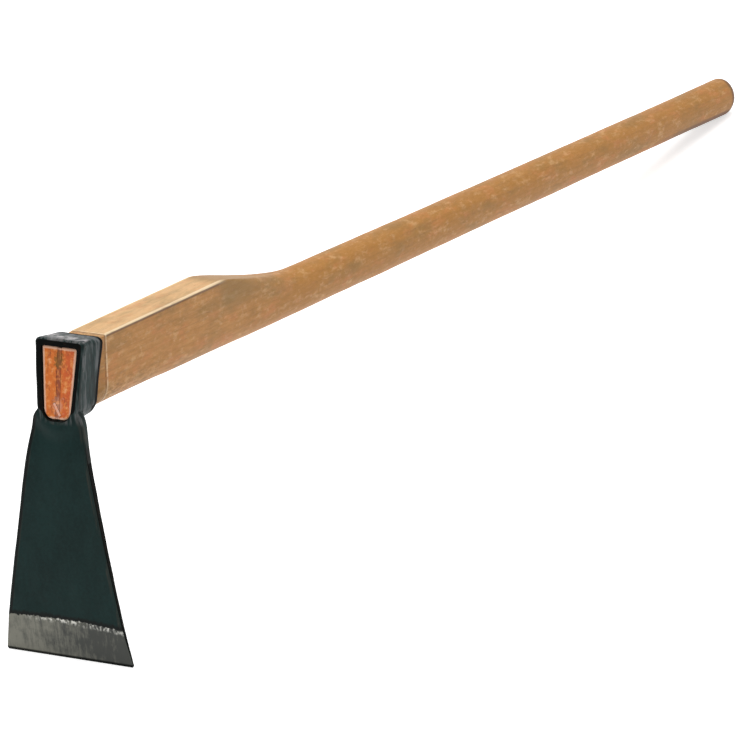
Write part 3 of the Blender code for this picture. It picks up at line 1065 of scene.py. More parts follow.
        # Painted light from above over the eye's top.
        top = z.step(*moved(self.eye_top_light_band, self.fit.eye_top()))
        from_front = x - self.fit.leaned(z)
        patches = bench.noise(place, self.eye_top_light_patches).spread(*self.eye_top_light_reach)
        painted_eye_top_light = top * patches * (from_front.step(*self.eye_top_light_start) * self.eye_top_light_rise + self.eye_top_light_least)
        colour = bench.blend(painted_eye_top_light, colour, self.painted_eye_top_light)
        # Painted highlight just before the eye's rear edge.
        ragged = from_front + (mottled - 0.5) * self.rear_highlight_wander
        return bench.lay(colour, ragged, self.painted_rear_highlight, ragged.step(*self.rear_highlight_end), on_eye,
                         runs.spread(*self.rear_highlight_breaks))

    def steel_colour(self, bench: Bench, place: Field, line: Field) -> Field:
        """Return the ground band's colour: streaked, duller to the near side, with flecks by the paint.

        Args:
            bench: the material's bench.
            place: the surface's place in the handle's frame.
            line: the distance past the ragged ground line.

        Returns:
            The colour.
        """
        _, y, _ = bench.parts(place)
        streaks = bench.noise(place, self.grinding_streaks) * self.streak_share
        clouds = bench.noise(place, self.clouds) * self.cloud_share
        shine = streaks + clouds + y * self.brighter_across - self.duller
        colour = bench.lay(self.dull_steel, shine, self.clear_steel)
        near_line = line.step(*self.fleck_start) * line.step(*self.fleck_end) * y.step(*self.fleck_side)
        colour = bench.lay(colour, bench.noise(place, self.flecks), self.bright_flecks, near_line)
        return bench.lay(colour, bench.attribute("to_cutting_edge"), self.dark_edge)

    def material(self, name: str) -> bpy.types.Material:
        """Return the finished material.

        Bare steel starts where the distance past the ground line beats a ragged noise. Its height field adds
        hammer marks, the paint's own grain and the grinding's streaks.

        Args:
            name: the material's name.

        Returns:
            The material.
        """
        bench = Bench(bpy.data.materials.new(name))
        place = bench.along_handle(self.lie)
        ragged = bench.noise(place, self.line_edge) - 0.5
        line = bench.attribute("past_ground_line") + ragged * self.line_wander
        bare = line.step(*self.bare_reach)
        hammered, mottled = bench.noise(place, self.hammering), bench.noise(place, self.mottle)
        painted = bench.lay(self.paint_colour(bench, place, mottled), line, self.above_line)
        colour = bench.blend(bare, painted, self.steel_colour(bench, place, line))
        rough = mottled * self.mottle_roughness + self.roughness + bare * self.bare_roughness
        ground = bench.noise(place, self.grinding) * bare
        grain = self.mottle_height - bare * self.mottle_ground_off
        height = (hammered * self.hammer_height + mottled * grain + ground * self.grinding_height
                  - bare * self.paint_height)
        bench.bump(height, self.bump_depth, self.bump_strength)
        return bench.finish(Base_Color=colour, Metallic=bare, Roughness=rough,
                            Specular_IOR_Level=self.specular)


@dataclass(frozen=True)
class ScaleAndShadeFinish:
    """Dull black on the blade's narrow sides and on the eye's rims: forge scale, and painted shade where these
    faces turn away from the light and at the bore's mouth.
    """

    lie: Lie
    scale: Colour = (0.0022, 0.0030, 0.0028)
    patches: Noise = Noise(260.0, 4.0)
    rust: Coat = Coat((0.0110, 0.0075, 0.0055), (0.50, 0.75))
    roughness: float = 0.5
    patch_roughness: float = 0.2
    bump_depth: float = 0.0003
    bump_strength: float = 0.5
    specular: float = 0.04

    def material(self, name: str) -> bpy.types.Material:
        """Return the finished material.

        Args:
            name: the material's name.

        Returns:
            The material.
        """
        bench = Bench(bpy.data.materials.new(name))
        patches = bench.noise(bench.along_handle(self.lie), self.patches)
        bench.bump(patches, self.bump_depth, self.bump_strength)
        return bench.finish(Base_Color=bench.lay(self.scale, patches, self.rust),
                            Roughness=patches * self.patch_roughness + self.roughness,
                            Specular_IOR_Level=self.specular)


@dataclass(frozen=True)
class WedgeSteelFinish:
    """A small mild steel wedge, hammered flush, with orange paint dragged over it."""

    lie: Lie
    steel: Colour = (0.620, 0.370, 0.290)
    paint: Colour = (0.860, 0.360, 0.200)
    patches: Noise = Noise(700.0)
    paint_reach: Reach = (0.38, 0.60)
    metal: float = 0.8
    metal_lost: float = 0.7
    roughness: float = 0.42
    bump_depth: float = 0.0002
    bump_strength: float = 0.6

    def material(self, name: str) -> bpy.types.Material:
        """Return the finished material.

        Args:
            name: the material's name.

        Returns:
            The material.
        """
        bench = Bench(bpy.data.materials.new(name))
        patches = bench.noise(bench.along_handle(self.lie), self.patches)
        share = patches.spread(*self.paint_reach)
        bench.bump(patches, self.bump_depth, self.bump_strength)
        return bench.finish(Base_Color=bench.blend(share, self.steel, self.paint), Roughness=self.roughness,
                            Metallic=self.metal - share * self.metal_lost)


@dataclass
class AshHandle:
    """The handle: tongue, run-in, block, scoop, grip and butt, as one surface round the handle's axis."""

    lie: Lie
    fit: EyeFit
    length: float = 0.9955
    width: float = 0.0280
    block_front_rise: float = 0.0350
    block_peak_rise: float = 0.0365
    block_edge: float = 0.0010
    peak_x: float = 0.188
    scoop_length: float = 0.124
    scoop_haste: float = 0.75
    grip_front_height: float = 0.0345
    grip_butt_height: float = 0.0306
    underside_turn: float = 0.93
    butt_width: float = 0.0262
    butt_round: float = 0.0110
    heel_wear: float = 0.0022
    end_bevel: float = 0.0008
    bevel_middle: tuple[float, float] = (0.35, 0.45)
    proud: float = 0.0002
    side_run_in: float = 0.0105
    top_run_in: float = 0.0120
    run_in_edge: float = 0.0003
    kerf_thickness: float = 0.0030
    kerf_tip: float = 0.0007
    kerf_depth: float = 0.0215
    slot_width: float = 0.0100
    slot_thickness: float = 0.0020
    slot_tip: float = 0.0005
    slot_depth: float = 0.0140
    slot_slant: float = math.radians(31.0)
    slot_y: float = 0.0005
    slot_above_bottom: float = 0.0070
    overcut: float = 0.0100
    planing: ToolMarks = ToolMarks(((0.09, 5, 0.00010), (0.022, 6, 0.00004)), least=0.00004)
    planing_fade: float = 0.02
    points_along: tuple[int, ...] = (12, 12, 9, 45, 100, 230)
    points_round: tuple[int, ...] = (9, 13, 11, 25)
    cap_points: int = 12
    cap_reach: float = 0.97
    dome_points: int = 19
    tip_points: int = 4
    tip_start: float = 0.8

    def __post_init__(self) -> None:
        """Work out where the outline turns along the handle: the run-in's two ends and the scoop's."""
        self.rear = self.fit.eye_rear + self.fit.gap
        self.side_end = self.fit.eye_rear + self.side_run_in
        self.top_end = self.fit.eye_rear + self.top_run_in
        self.grip_start = self.peak_x + self.scoop_length
        self.butt_start = self.length - self.butt_round

    def stations(self) -> Array:
        """Return the places along the handle at which its outline is taken, closest where the shape turns.

        Returns:
            The rising places.
        """
        turns = (self.end_bevel - self.proud, self.rear, self.side_end, self.top_end, self.peak_x,
                 self.grip_start, self.butt_start)
        runs = [np.linspace(*ends) for ends in zip(turns, turns[1:], self.points_along)]
        before = np.array([self.rear, self.side_end, self.top_end]) - self.run_in_edge
        past = np.array([self.side_end, self.top_end]) + self.run_in_edge
        return join(*runs, before, past)

    def outline(self, x: Array) -> Outline:
        """Return the handle's half outline at stations, of shape (stations, 1).

        Up to the peak each size runs straight between the tongue, the run-in's end and the block. Down the
        scoop the top falls by a share s, the eased way down after it is raised to a power, while the corners
        open by s squared. Along the grip width and height slim by 1 - (1 - s) squared.

        Args:
            x: the stations.

        Returns:
            The outline, with an array for each size.
        """
        tongue = self.fit.tongue()
        half = self.width / 2
        places = [0.0, self.rear, self.side_end, self.top_end, self.peak_x]
        way_in = (self.side_end - self.rear) / (self.top_end - self.rear)
        run_top = mix(tongue.top, self.block_front_rise, way_in)
        fall = smooth(np.clip((x - self.peak_x) / self.scoop_length, 0.0, 1.0) ** self.scoop_haste)
        opened = fall ** 2
        along = np.clip((x - self.grip_start) / (self.butt_start - self.grip_start), 0.0, 1.0)
        slimmed = 1.0 - (1.0 - along) ** 2
        grip_half = mix(half, self.butt_width / 2, slimmed)
        grip_high = mix(self.grip_front_height, self.grip_butt_height, slimmed) / 2
        narrowed = grip_half / half

        def run_in(at_tongue: float, at_block: float) -> Array:
            """Return a size that keeps to the tongue's up to the eye's rear and then runs to the block's."""
            return np.interp(x, places[:3], [at_tongue, at_tongue, at_block])

        block_top = np.interp(x, places, [tongue.top, tongue.top, run_top, self.block_front_rise,
                                          self.block_peak_rise])
        top = mix(block_top, grip_high, fall)
        edge = run_in(tongue.corner_across, self.block_edge)
        return Outline(
            half_top=run_in(tongue.half_top, half) * narrowed,
            half_waist=run_in(tongue.half_waist, half) * narrowed,
            top=top,
            waist=run_in(tongue.waist, 0.0),
            bottom=-mix(np.full_like(x, self.fit.underside_drop), grip_high, fall),
            corner_across=mix(edge, grip_half, opened),
            corner_down=mix(edge, top, opened),
            round_across=run_in(tongue.round_across, half) * narrowed,
            turn_share=self.underside_turn,
        )

    def lean_share(self, x: Array) -> Array:
        """Return how much of the eye's lean a station has: all of it in the eye, none from the block on."""
        return np.clip(1.0 - (x - self.rear) / (self.top_run_in - self.fit.gap), 0.0, 1.0)

    def rows(self) -> Array:
        """Return the surface's points: end cap, tongue to grip, and the butt's quarter-round and cap.

        Round the butt the outline moves in as the place goes on, by a quarter circle. Its underside is worn
        back in proportion to the way round.

        Returns:
            Points of shape (rows, columns, 3) in the handle's frame.
        """
        u = legs(self.points_round)[None, :]
        x = self.stations()[:, None]
        y, z = self.outline(x).trace(u)
        body = np.stack((x + self.lean_share(x) * self.fit.leaned(z), y, z), axis=-1)

        along, across = self.bevel_middle
        front_insets = np.array([[self.end_bevel], [self.end_bevel * across]])
        front_x = np.array([[-self.proud], [-self.proud + self.end_bevel * along]])
        y, z = self.fit.tongue().grown(-front_insets).trace(u)
        rim = np.stack((front_x + self.fit.leaned(z), y, z), axis=-1)
        middle_z = (self.fit.rise - self.fit.underside_drop) / 2
        shares = np.linspace(0.0, self.cap_reach, self.cap_points)[:, None]
        cap_y, cap_z = rim[0, :, 1] * shares, mix(middle_z, rim[0, :, 2], shares)
        cap = np.stack((-self.proud + self.fit.leaned(cap_z), cap_y, cap_z), axis=-1)

        turn = quarter_turn(self.dome_points)[1:]
        butt = self.outline(np.array([[self.butt_start]]))
        y, z = butt.grown(-self.butt_round * (1.0 - np.cos(turn))).trace(u)
        butt_x = self.length - self.butt_round * (1.0 - np.sin(turn))
        dome = np.stack(np.broadcast_arrays(butt_x, y, z), axis=-1)
        close = np.linspace(self.tip_start, 0.0, self.tip_points)[:, None]
        tip = np.stack(np.broadcast_arrays(self.length + 0.0 * close, dome[-1, :, 1] * close,
                                           dome[-1, :, 2] * close), axis=-1)
        for part in (dome, tip):
            way_round = 1.0 - (self.length - part[..., 0]) / self.butt_round
            part[..., 0] -= self.heel_wear * smooth(-part[..., 2] / self.butt_round) * way_round
        return both_halves(np.concatenate((cap, rim, body, dome, tip), axis=0))

    def cutter(self, name: str, ends: tuple[tuple[float, float], ...], thickness: float, tip: float,
               depth: float) -> bpy.types.Object:
        """Make the cutter of a wedge's slot, which narrows from the end face to its bottom.

        Args:
            name: the cutter's name.
            ends: the two ends of the slot's middle line in the end face, as (y, z).
            thickness: the wedge's thickness at the end face.
            tip: the wedge's thickness at its deep end.
            depth: the wedge's depth.

        Returns:
            The cutter's object.
        """
        gap = self.fit.gap
        first, last = (np.array(end) for end in ends)
        run = (last - first) / np.linalg.norm(last - first)
        across = np.array((-run[1], run[0]))
        first, last = first - run * gap, last + run * gap
        x = np.array([-self.overcut, -self.overcut, 0.0, depth + gap, depth + gap])[:, None]
        half = np.array([0.0, thickness / 2 + gap, thickness / 2 + gap, tip / 2 + gap, 0.0])[:, None, None]
        sides = np.stack((across, across, -across, -across))
        corners = np.stack((first, last, last, first))[None] + half * sides
        points = np.concatenate((np.broadcast_to(x, corners.shape[:2])[..., None], corners), axis=-1)
        points[..., 0] += self.fit.leaned(points[..., 2]) - self.proud
        return mesh_from_rows(name, self.lie.place(points))

    def cut_slots(self, piece: bpy.types.Object) -> None:
        """Cut the kerf and the steel wedge's slot into the tongue's end.

        Args:
            piece: the handle's piece.
        """
        line_y = self.slot_width / 2 * math.sin(self.slot_slant)
        line_z = self.slot_width / 2 * math.cos(self.slot_slant)
        middle = self.slot_above_bottom - self.fit.underside_drop
        ends = ((0.0, self.fit.rise + self.overcut), (0.0, -self.fit.underside_drop - self.overcut))
        kerf = self.cutter("kerf", ends, self.kerf_thickness, self.kerf_tip, self.kerf_depth)
        ends = ((self.slot_y + line_y, middle + line_z), (self.slot_y - line_y, middle - line_z))
        slot = self.cutter("slot", ends, self.slot_thickness, self.slot_tip, self.slot_depth)
        for cutter in (kerf, slot):
            modifier = piece.modifiers.new(cutter.name, "BOOLEAN")
            modifier.operation, modifier.solver, modifier.object = "DIFFERENCE", "MANIFOLD", cutter
        bpy.context.view_layer.update()
        graph = bpy.context.evaluated_depsgraph_get()
        cut = bpy.data.meshes.new_from_object(piece.evaluated_get(graph))
        piece.modifiers.clear()
        piece.data = cut
        for cutter in (kerf, slot):
            bpy.data.objects.remove(cutter)
        finish_shading(cut)

    def build(self) -> bpy.types.Object:
        """Build the handle's piece.

        Returns:
            The piece.
        """
        piece = mesh_from_rows("ash_handle", self.lie.place(self.rows()))
        points = read(piece.data, "co")
        clear_of_eye = smooth((points[:, 0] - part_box("hoe_head")[1][0]) / self.planing_fade)
        press_in(piece.data, self.planing.depth(points) * clear_of_eye)
        self.cut_slots(piece)
        return piece

    def finish(self, grain: Grain) -> AshFinish:
        """Return the wood's finish, for the handle or for the wedge in its kerf.

        Args:
            grain: which of them.

        Returns:
            The finish.
        """
        block = Block(self.top_end, self.block_front_rise, self.peak_x, self.block_peak_rise, self.width / 2,
                      self.length)
        return AshFinish(self.lie, self.fit, block, grain)

    def dress(self, piece: bpy.types.Object) -> None:
        """Give the piece its finish."""
        piece.data.materials.clear()
        piece.data.materials.append(self.finish(Grain.HANDLE).material("oiled_ash"))


@dataclass
class ForgedHead:
    """The head: an eye and a blade in one skin.

    The skin is a grid that is closed both ways. Its columns run round the eye, and those of the eye's
    underside fan out down the blade. Its rows run from the bore's front edge over the front, round the
    blade's edge and up its back, along the eye's outside to the rear, and back through the bore.
    """

    lie: Lie
    fit: EyeFit
    front_side_wall: float = 0.0055
    rear_side_wall: float = 0.0034
    front_low_wall: float = 0.0052
    rear_low_wall: float = 0.0049
    front_bottom_wall: float = 0.0050
    rear_bottom_wall: float = 0.0032
    rear_top_wall: float = 0.0029
    waist_rise: float = 0.0028
    corner: float = 0.0040
    eye_edge: float = 0.0018
    flare: float = 0.0016
    rim_reach: float = 0.0042
    bore_edge: float = 0.0005
    shoulder_share: float = 0.18
    shoulder_reach: float = 0.0120
    blade_length: float = 0.1676
    root_width: float = 0.0424
    edge_width: float = 0.1042
    bend_start: float = 0.0110
    bend_length: float = 0.0140
    bend_radius: float = 0.1200
    arch_radius: float = 1.3500
    root_thickness: float = 0.0058
    low_thickness: float = 0.0031
    side_ease: float = 0.0007
    spine_thickness: float = 0.0090
    spine_half_width: float = 0.0150
    spine_fade: float = 0.0220
    ground_height: float = 0.0274
    ground_arch: float = 0.0020
    cutting_thickness: float = 0.0008
    cutting_corner: float = 0.0012
    fillet: float = 0.0090
    flow: float = 0.0130
    recess: float = 0.0003
    shoulder_fade: float = 0.005
    least_side: float = 0.3
    own_share: float = 0.33
    flare_start: float = 0.35
    flare_foot: float = 0.002
    flare_height: float = 0.030
    hammering: ToolMarks = ToolMarks(((0.034, 11, 0.00013), (0.012, 12, 0.00005)))
    smooth_above: float = 0.010
    smooth_over: float = 0.008
    faint_rim: float = 0.2
    side_rim_start: float = 0.006
    side_rim_length: float = 0.030
    dark_rows: int = 4
    off_blade: float = 0.05
    all_rim: float = 0.99
    points_round: tuple[int, ...] = (15, 9, 27, 6)
    ease_steps: int = 6
    columns: int = 44
    rows_down: int = 96
    row_crowding: float = 1.25
    rows_ground: int = 22
    last_rows: tuple[float, float, float] = (0.95, 0.975, 1.0)
    rows_side: int = 22
    rows_front_wall: int = 8
    rows_bore_edge: int = 4
    rows_rear_edge: int = 7
    rows_rear_wall: int = 7
    rows_through: int = 9
    marks: dict[str, Array] = field(default_factory=dict)

    def __post_init__(self) -> None:
        """Work out the outlines and where the columns stand on them."""
        self.bore = self.fit.tongue().grown(self.fit.gap)
        self.front = self.eye_outline(self.front_side_wall, self.front_low_wall, self.fit.top_wall,
                                      self.front_bottom_wall)
        self.rear = self.eye_outline(self.rear_side_wall, self.rear_low_wall, self.rear_top_wall,
                                     self.rear_bottom_wall)
        shoulder = 3.0 + self.shoulder_share
        ring = legs(self.points_round, shoulder)
        under = np.linspace(shoulder, LEGS, self.columns)
        steps = self.side_steps
        self.u = np.concatenate((ring, np.full(steps, shoulder), under[1:]))
        self.step_of = np.concatenate((np.full(len(ring), steps), np.arange(steps - 1, -1, -1),
                                       np.zeros(self.columns - 1, int)))
        across = 1.0 - (under - shoulder) / (LEGS - shoulder)
        self.across = np.concatenate((np.ones(len(ring) + steps), across[1:]))
        self.is_ring = np.arange(len(self.u)) < len(ring) - 1
        self.is_under = np.arange(len(self.u)) >= len(ring) + steps
        self.start_y, self.start_z = (float(part[0]) for part in self.front.trace(np.array([shoulder])))
        self.fillet_reach = self.fillet * np.sqrt(np.clip(1.0 - self.across ** 2, 0.0, 1.0)) * self.is_under

    @property
    def depth(self) -> float:
        """Return the eye's depth from its front to its rear."""
        return self.fit.eye_rear + self.fit.ahead

    @property
    def side_steps(self) -> int:
        """Return how many steps lead over an edge's round to the middle of the blade's side."""
        return self.ease_steps + 2

    def eye_outline(self, side: float, low: float, top: float, bottom: float) -> Outline:
        """Return the eye's outer outline from its walls round the bore.

        Args:
            side: the wall beside the bore's top.
            low: the wall beside its waist.
            top: the wall above it.
            bottom: the wall below it.

        Returns:
            The outline.
        """
        half_waist = self.bore.half_waist + low
        return Outline(self.bore.half_top + side, half_waist, self.bore.top + top,
                       self.bore.waist + self.waist_rise, self.bore.bottom - bottom, self.corner, self.corner,
                       half_waist)

    @property
    def eye_reach(self) -> float:
        """Return the distance along the front from the shoulders to the eye's bottom."""
        return (self.start_z - self.front.bottom) / math.cos(self.fit.lean)

    @property
    def length(self) -> float:
        """Return the distance along the front from the shoulders to the cutting edge."""
        return self.eye_reach + self.blade_length

    def front_line(self, s: Array) -> tuple[Array, Array, Array]:
        """Return x, z and the lean of the front at a distance below the shoulders.

        Three arcs follow each other: a straight one in the eye's front plane, a short bend and a long arch.
        Each adds its chord, which lies half-way through its turn. Above the shoulders the first one runs on.

        Args:
            s: distances below the shoulders.

        Returns:
            The arrays of x, z and the lean.
        """
        straight = self.eye_reach + self.bend_start
        rest = self.length - straight - self.bend_length
        arcs = ((straight, 0.0), (self.bend_length, self.bend_length / self.bend_radius),
                (rest, rest / self.arch_radius))
        x = self.fit.leaned(np.full_like(s, self.start_z)) - np.minimum(s, 0.0) * math.sin(self.fit.lean)
        z = self.start_z - np.minimum(s, 0.0) * math.cos(self.fit.lean)
        lean = np.full_like(s, self.fit.lean)
        left = np.maximum(s, 0.0)
        for length, turn in arcs:
            run = np.minimum(left, length)
            turned = turn * run / length
            chord = run * np.sinc(turned / (2.0 * math.pi))
            x = x - chord * np.sin(lean - turned / 2)
            z = z - chord * np.cos(lean - turned / 2)
            lean = lean - turned
            left = left - run
        return x, z, lean

    def on_front(self, y: Array, s: Array, inward: Array, near: Array) -> Array:
        """Return points at y across, s down the front and a distance into the steel.

        That distance is square to the front, but turns to run along the handle where near is 1, by the eye.

        Args:
            y: places across.
            s: distances below the shoulders.
            inward: the distance into the steel.
            near: the nearness to the eye, from 0 to 1.

        Returns:
            The points.
        """
        x, z, lean = self.front_line(s)
        inward = inward + self.recess * (1.0 - near)
        x, z = x + inward * mix(np.cos(lean), 1.0, near), z - inward * np.sin(lean) * (1.0 - near)
        return np.stack(np.broadcast_arrays(x, y, z), axis=-1)

    def half_width(self, s: Array) -> Array:
        """Return half the blade's width: straight flaring sides, cut in at the shoulders and the corners.

        Args:
            s: distances below the shoulders.

        Returns:
            The half widths.
        """
        below_eye = (s - self.eye_reach) / self.blade_length
        root, edge = self.root_width / 2, self.edge_width / 2
        straight = mix(root, edge, below_eye)
        at_start = mix(root, edge, -self.eye_reach / self.blade_length) - self.start_y
        shoulder = np.clip(1.0 - s / self.shoulder_reach, 0.0, 1.0)
        corner = np.clip(1.0 - (self.length - s) / self.cutting_corner, 0.0, 1.0)
        return straight - at_start * shoulder ** 3 - self.cutting_corner * corner

    def plate(self, s: Array) -> Array:
        """Return the blade's thickness at its sides, tapering to the ground band."""
        below_eye = np.clip((s - self.eye_reach) / (self.blade_length - self.ground_height), 0.0, 1.0)
        return mix(self.root_thickness, self.low_thickness, below_eye)

    def thickness(self, s: Array, y: Array) -> Array:
        """Return the thickness with the spine, which fades below the eye and to both sides.

        Args:
            s: distances below the shoulders.
            y: places across.

        Returns:
            The thickness at each.
        """
        below_eye = np.maximum(s - self.eye_reach, 0.0)
        reach = np.clip(1.0 - (y / self.spine_half_width) ** 2, 0.0, 1.0)
        return self.plate(s) + self.spine_thickness * np.exp(-below_eye / self.spine_fade) * reach ** 2

    def ground_line(self, across: Array) -> Array:
        """Return how far down the ground band starts, a little higher in the middle."""
        return self.length - self.ground_height - self.ground_arch * (1.0 - across ** 2)

    def sunk(self, s: Array, across: Array) -> Array:
        """Return how deep the grinding is: it takes the front back to the cutting edge's thickness.

        Args:
            s: distances below the shoulders.
            across: shares across the blade, 1 at its side.

        Returns:
            The depths.
        """
        start = self.ground_line(across)
        share = np.clip((s - start) / (self.length - start), 0.0, 1.0)
        return (self.plate(np.array(self.length)) - self.cutting_thickness) * share

    def side_step(self, step: Array, ease: Array | float, side: Array | float) -> tuple[Array, Array]:
        """Return the place on the way over an edge: round a quarter circle, then straight to the middle.

        Args:
            step: the step's number, from 0 on the face to side_steps at the middle of the side.
            ease: the radius of the edge's round.
            side: the distance from the face to the middle of the side.

        Returns:
            How far it lies out from the face's outline, and how deep below the face.
        """
        turn = np.clip(step / self.ease_steps, 0.0, 1.0) * math.pi / 2
        straight = np.clip((step - self.ease_steps) / (self.side_steps - self.ease_steps), 0.0, 1.0)
        out = -ease * (1.0 - np.sin(turn))
        return out, mix(ease * (1.0 - np.cos(turn)), side, straight)

    def fade(self, s: Array) -> Array:
        """Return 1 at the shoulders, falling to 0 a little below them."""
        return 1.0 - smooth(s / self.shoulder_fade)

    def blade_skin(self, s: Array, back: bool) -> Array:
        """Return points of the blade's columns, for distances of shape (rows, columns).

        A column keeps its share across the blade. Near the eye it starts from its place on the eye's outline,
        scaled with the blade's width, and it eases to its share of the width within a third of the blade.

        Args:
            s: distances below the shoulders.
            back: whether the points lie on the blade's back.

        Returns:
            The points.
        """
        across = self.across[None, :]
        half, plate, sunk, fade = self.half_width(s), self.plate(s), self.sunk(s, across), self.fade(s)
        slim = np.minimum(self.side_ease, self.least_side * (plate - sunk))
        ease = slim * (1.0 - fade) if back else mix(slim, self.eye_edge, fade)
        start_y, start_s = self.start_points(ease)
        near = 1.0 - smooth((s - np.where(self.is_under, start_s, 0.0)) / self.flow)
        front = sunk - self.fit.ahead * near
        own = start_y * (half - ease) / (self.half_width(start_s) - ease)
        y = mix(own, across * (half - ease), smooth((s - start_s) / (self.own_share * self.length)))
        out, deep = self.side_step(self.step_of[None, :], ease, (plate - front) / 2)
        side_depth = plate - deep if back else front + deep
        (normal_y, normal_z), (taper_y, taper_z) = self.shoulder_normal(), self.shoulder_taper()
        drift = fade * (side_depth + self.fit.ahead) / self.depth
        side_y = half + out * mix(1.0, normal_y, fade) + taper_y * drift
        side_s = s - (out * normal_z * fade + taper_z * drift) / math.cos(self.fit.lean)
        under = self.is_under[None, :]
        depth = self.thickness(s, y) if back else front
        return self.on_front(np.where(under, y, side_y), np.where(under, s, side_s),
                             np.where(under, depth, side_depth), near)

    def start_points(self, inset: Array | float) -> tuple[Array, Array]:
        """Return where each column leaves the eye's outline, moved in by an inset, as y and s.

        Args:
            inset: how far in.

        Returns:
            The arrays of y and s.
        """
        y, z = self.front.trace(self.u)
        out_y, out_z = self.front.outward(self.u)
        y, z = y[None, :] - out_y[None, :] * inset, z[None, :] - out_z[None, :] * inset
        return y, (self.start_z - z) / math.cos(self.fit.lean)

    def shoulder_normal(self) -> tuple[float, float]:
        """Return the outward direction of the eye's outline at the shoulder."""
        out_y, out_z = self.front.outward(np.array([3.0 + self.shoulder_share]))
        return float(out_y[0]), float(out_z[0])

    def shoulder_taper(self) -> tuple[float, float]:
        """Return how the eye's outline moves at the shoulder from its front to its rear.

        Returns:
            How far it moves across and up.
        """
        u = np.array([3.0 + self.shoulder_share])
        (front_y, front_z), (rear_y, rear_z) = self.front.trace(u), self.rear.trace(u)
        return float(rear_y[0] - front_y[0]), float(rear_z[0] - front_z[0])

    def eye_skin(self, back: Array, inset: Array | float = 0.0) -> Array:
        """Return points of the eye's outside at a distance behind its front, moved in by an inset.

        Each point lies between the front's outline and the rear's by its share of the eye's depth. The sides
        flare a little more towards the rear's top corners.

        Args:
            back: distances behind the eye's front.
            inset: how far in.

        Returns:
            The points.
        """
        share = back / self.depth
        (fy, fz), (ry, rz) = self.front.trace(self.u), self.rear.trace(self.u)
        (ny, nz), (my, mz) = self.front.outward(self.u), self.rear.outward(self.u)
        y = mix(fy - ny * inset, ry - my * inset, share)
        z = mix(fz - nz * inset, rz - mz * inset, share)
        rearward = smooth((share - self.flare_start) / (1.0 - self.flare_start))
        upward = smooth((z - self.flare_foot) / self.flare_height)
        y = y + self.flare * np.maximum(my, 0.0) * rearward * upward
        x = self.fit.leaned(z) - self.fit.ahead + back
        return np.stack(np.broadcast_arrays(x, y, z), axis=-1)

    def bore_skin(self, back: Array, out: Array | float) -> Array:
        """Return points round the bore at a distance behind the eye's front, moved out into the wall.

        Args:
            back: distances behind the eye's front.
            out: how far into the wall.

        Returns:
            The points.
        """
        y, z = self.bore.trace(self.u)
        ny, nz = self.bore.outward(self.u)
        y, z = y + ny * out, z + nz * out
        x = self.fit.leaned(z) - self.fit.ahead + back
        return np.stack(np.broadcast_arrays(x, y, z), axis=-1)

    def distances(self) -> tuple[Array, Array]:
        """Return how far down the front each of the blade's rows lies on every column, on face and back.

        From the eye to the ground line the rows crowd by a power of their share of the way, and over the ground
        band they run evenly. On the back they go up, and end below the fillet.

        Returns:
            The distances down the face and those up the back.
        """
        under, ground = self.is_under[None, :], self.ground_line(self.across)[None, :]
        start_s = np.where(under, self.start_points(self.eye_edge)[1], 0.0)
        top_s = np.where(under, self.start_points(0.0)[1] + self.fillet_reach, 0.0)
        down = np.linspace(0.0, 1.0, self.rows_down)[1:, None] ** self.row_crowding
        band = np.linspace(0.0, self.last_rows[0], self.rows_ground)[1:]
        band = np.concatenate((band, self.last_rows[1:]))[:, None]
        s_down = np.concatenate((mix(start_s, ground, down), mix(ground, self.length, band)))
        s_up = np.concatenate((mix(ground, self.length, band[::-1]), mix(top_s, ground, down[::-1]), top_s))
        return s_down, s_up

    def side_run(self, thick: float, blade_top: Array) -> Array:
        """Return the eye's outside from behind the blade to its rear edge.

        On the sides it runs straight back. Underneath a fillet leads on to it from the blade's back: a curve
        drawn to the corner between both, (1 - b) squared, 2 b (1 - b) and b squared of its three points.

        Args:
            thick: how far behind the eye's front the sides' run starts.
            blade_top: the last row of the blade's back.

        Returns:
            The rows' points.
        """
        end = self.depth - self.eye_edge
        run = np.linspace(0.0, 1.0, self.rows_side + 1)[1:, None]
        y, s = self.start_points(0.0)
        corner_depth = self.thickness(s, y) + self.fit.ahead
        landing_depth = corner_depth + self.fillet_reach
        half = self.rows_side // 2
        bow = np.linspace(0.0, 1.0, half + 1)[1:, None, None]
        arc = ((1 - bow) ** 2 * blade_top + 2 * bow * (1 - bow) * self.eye_skin(corner_depth)
               + bow ** 2 * self.eye_skin(landing_depth))
        rest = np.linspace(0.0, 1.0, self.rows_side - half + 1)[1:, None]
        under = np.concatenate((arc, self.eye_skin(mix(landing_depth, end, rest))))
        return np.where(self.is_under[None, :, None], under, self.eye_skin(mix(thick, end, run)))

    def half_rows(self) -> Array:
        """Return the grid of the +Y half and keep the marks of each row and column for the finish.

        Returns:
            Points of shape (rows, columns, 3) in the handle's frame.
        """
        steps, thick = self.side_steps, self.root_thickness + self.fit.ahead
        turn = quarter_turn(self.rows_bore_edge)
        in_turn, off_turn = self.bore_edge * (1.0 - np.sin(turn)), self.bore_edge * (1.0 - np.cos(turn))
        front_round = self.bore_skin(in_turn, off_turn)
        walls = np.linspace(0.0, 1.0, self.rows_front_wall)[1:, None, None]
        front_wall = mix(front_round[-1:], self.eye_skin(np.zeros((1, 1)), self.eye_edge), walls)
        step = np.minimum(np.arange(1, steps + 1)[:, None], self.step_of[None, :])
        out, deep = self.side_step(step, self.eye_edge, thick / 2)
        over_front = self.eye_skin(deep, -out)

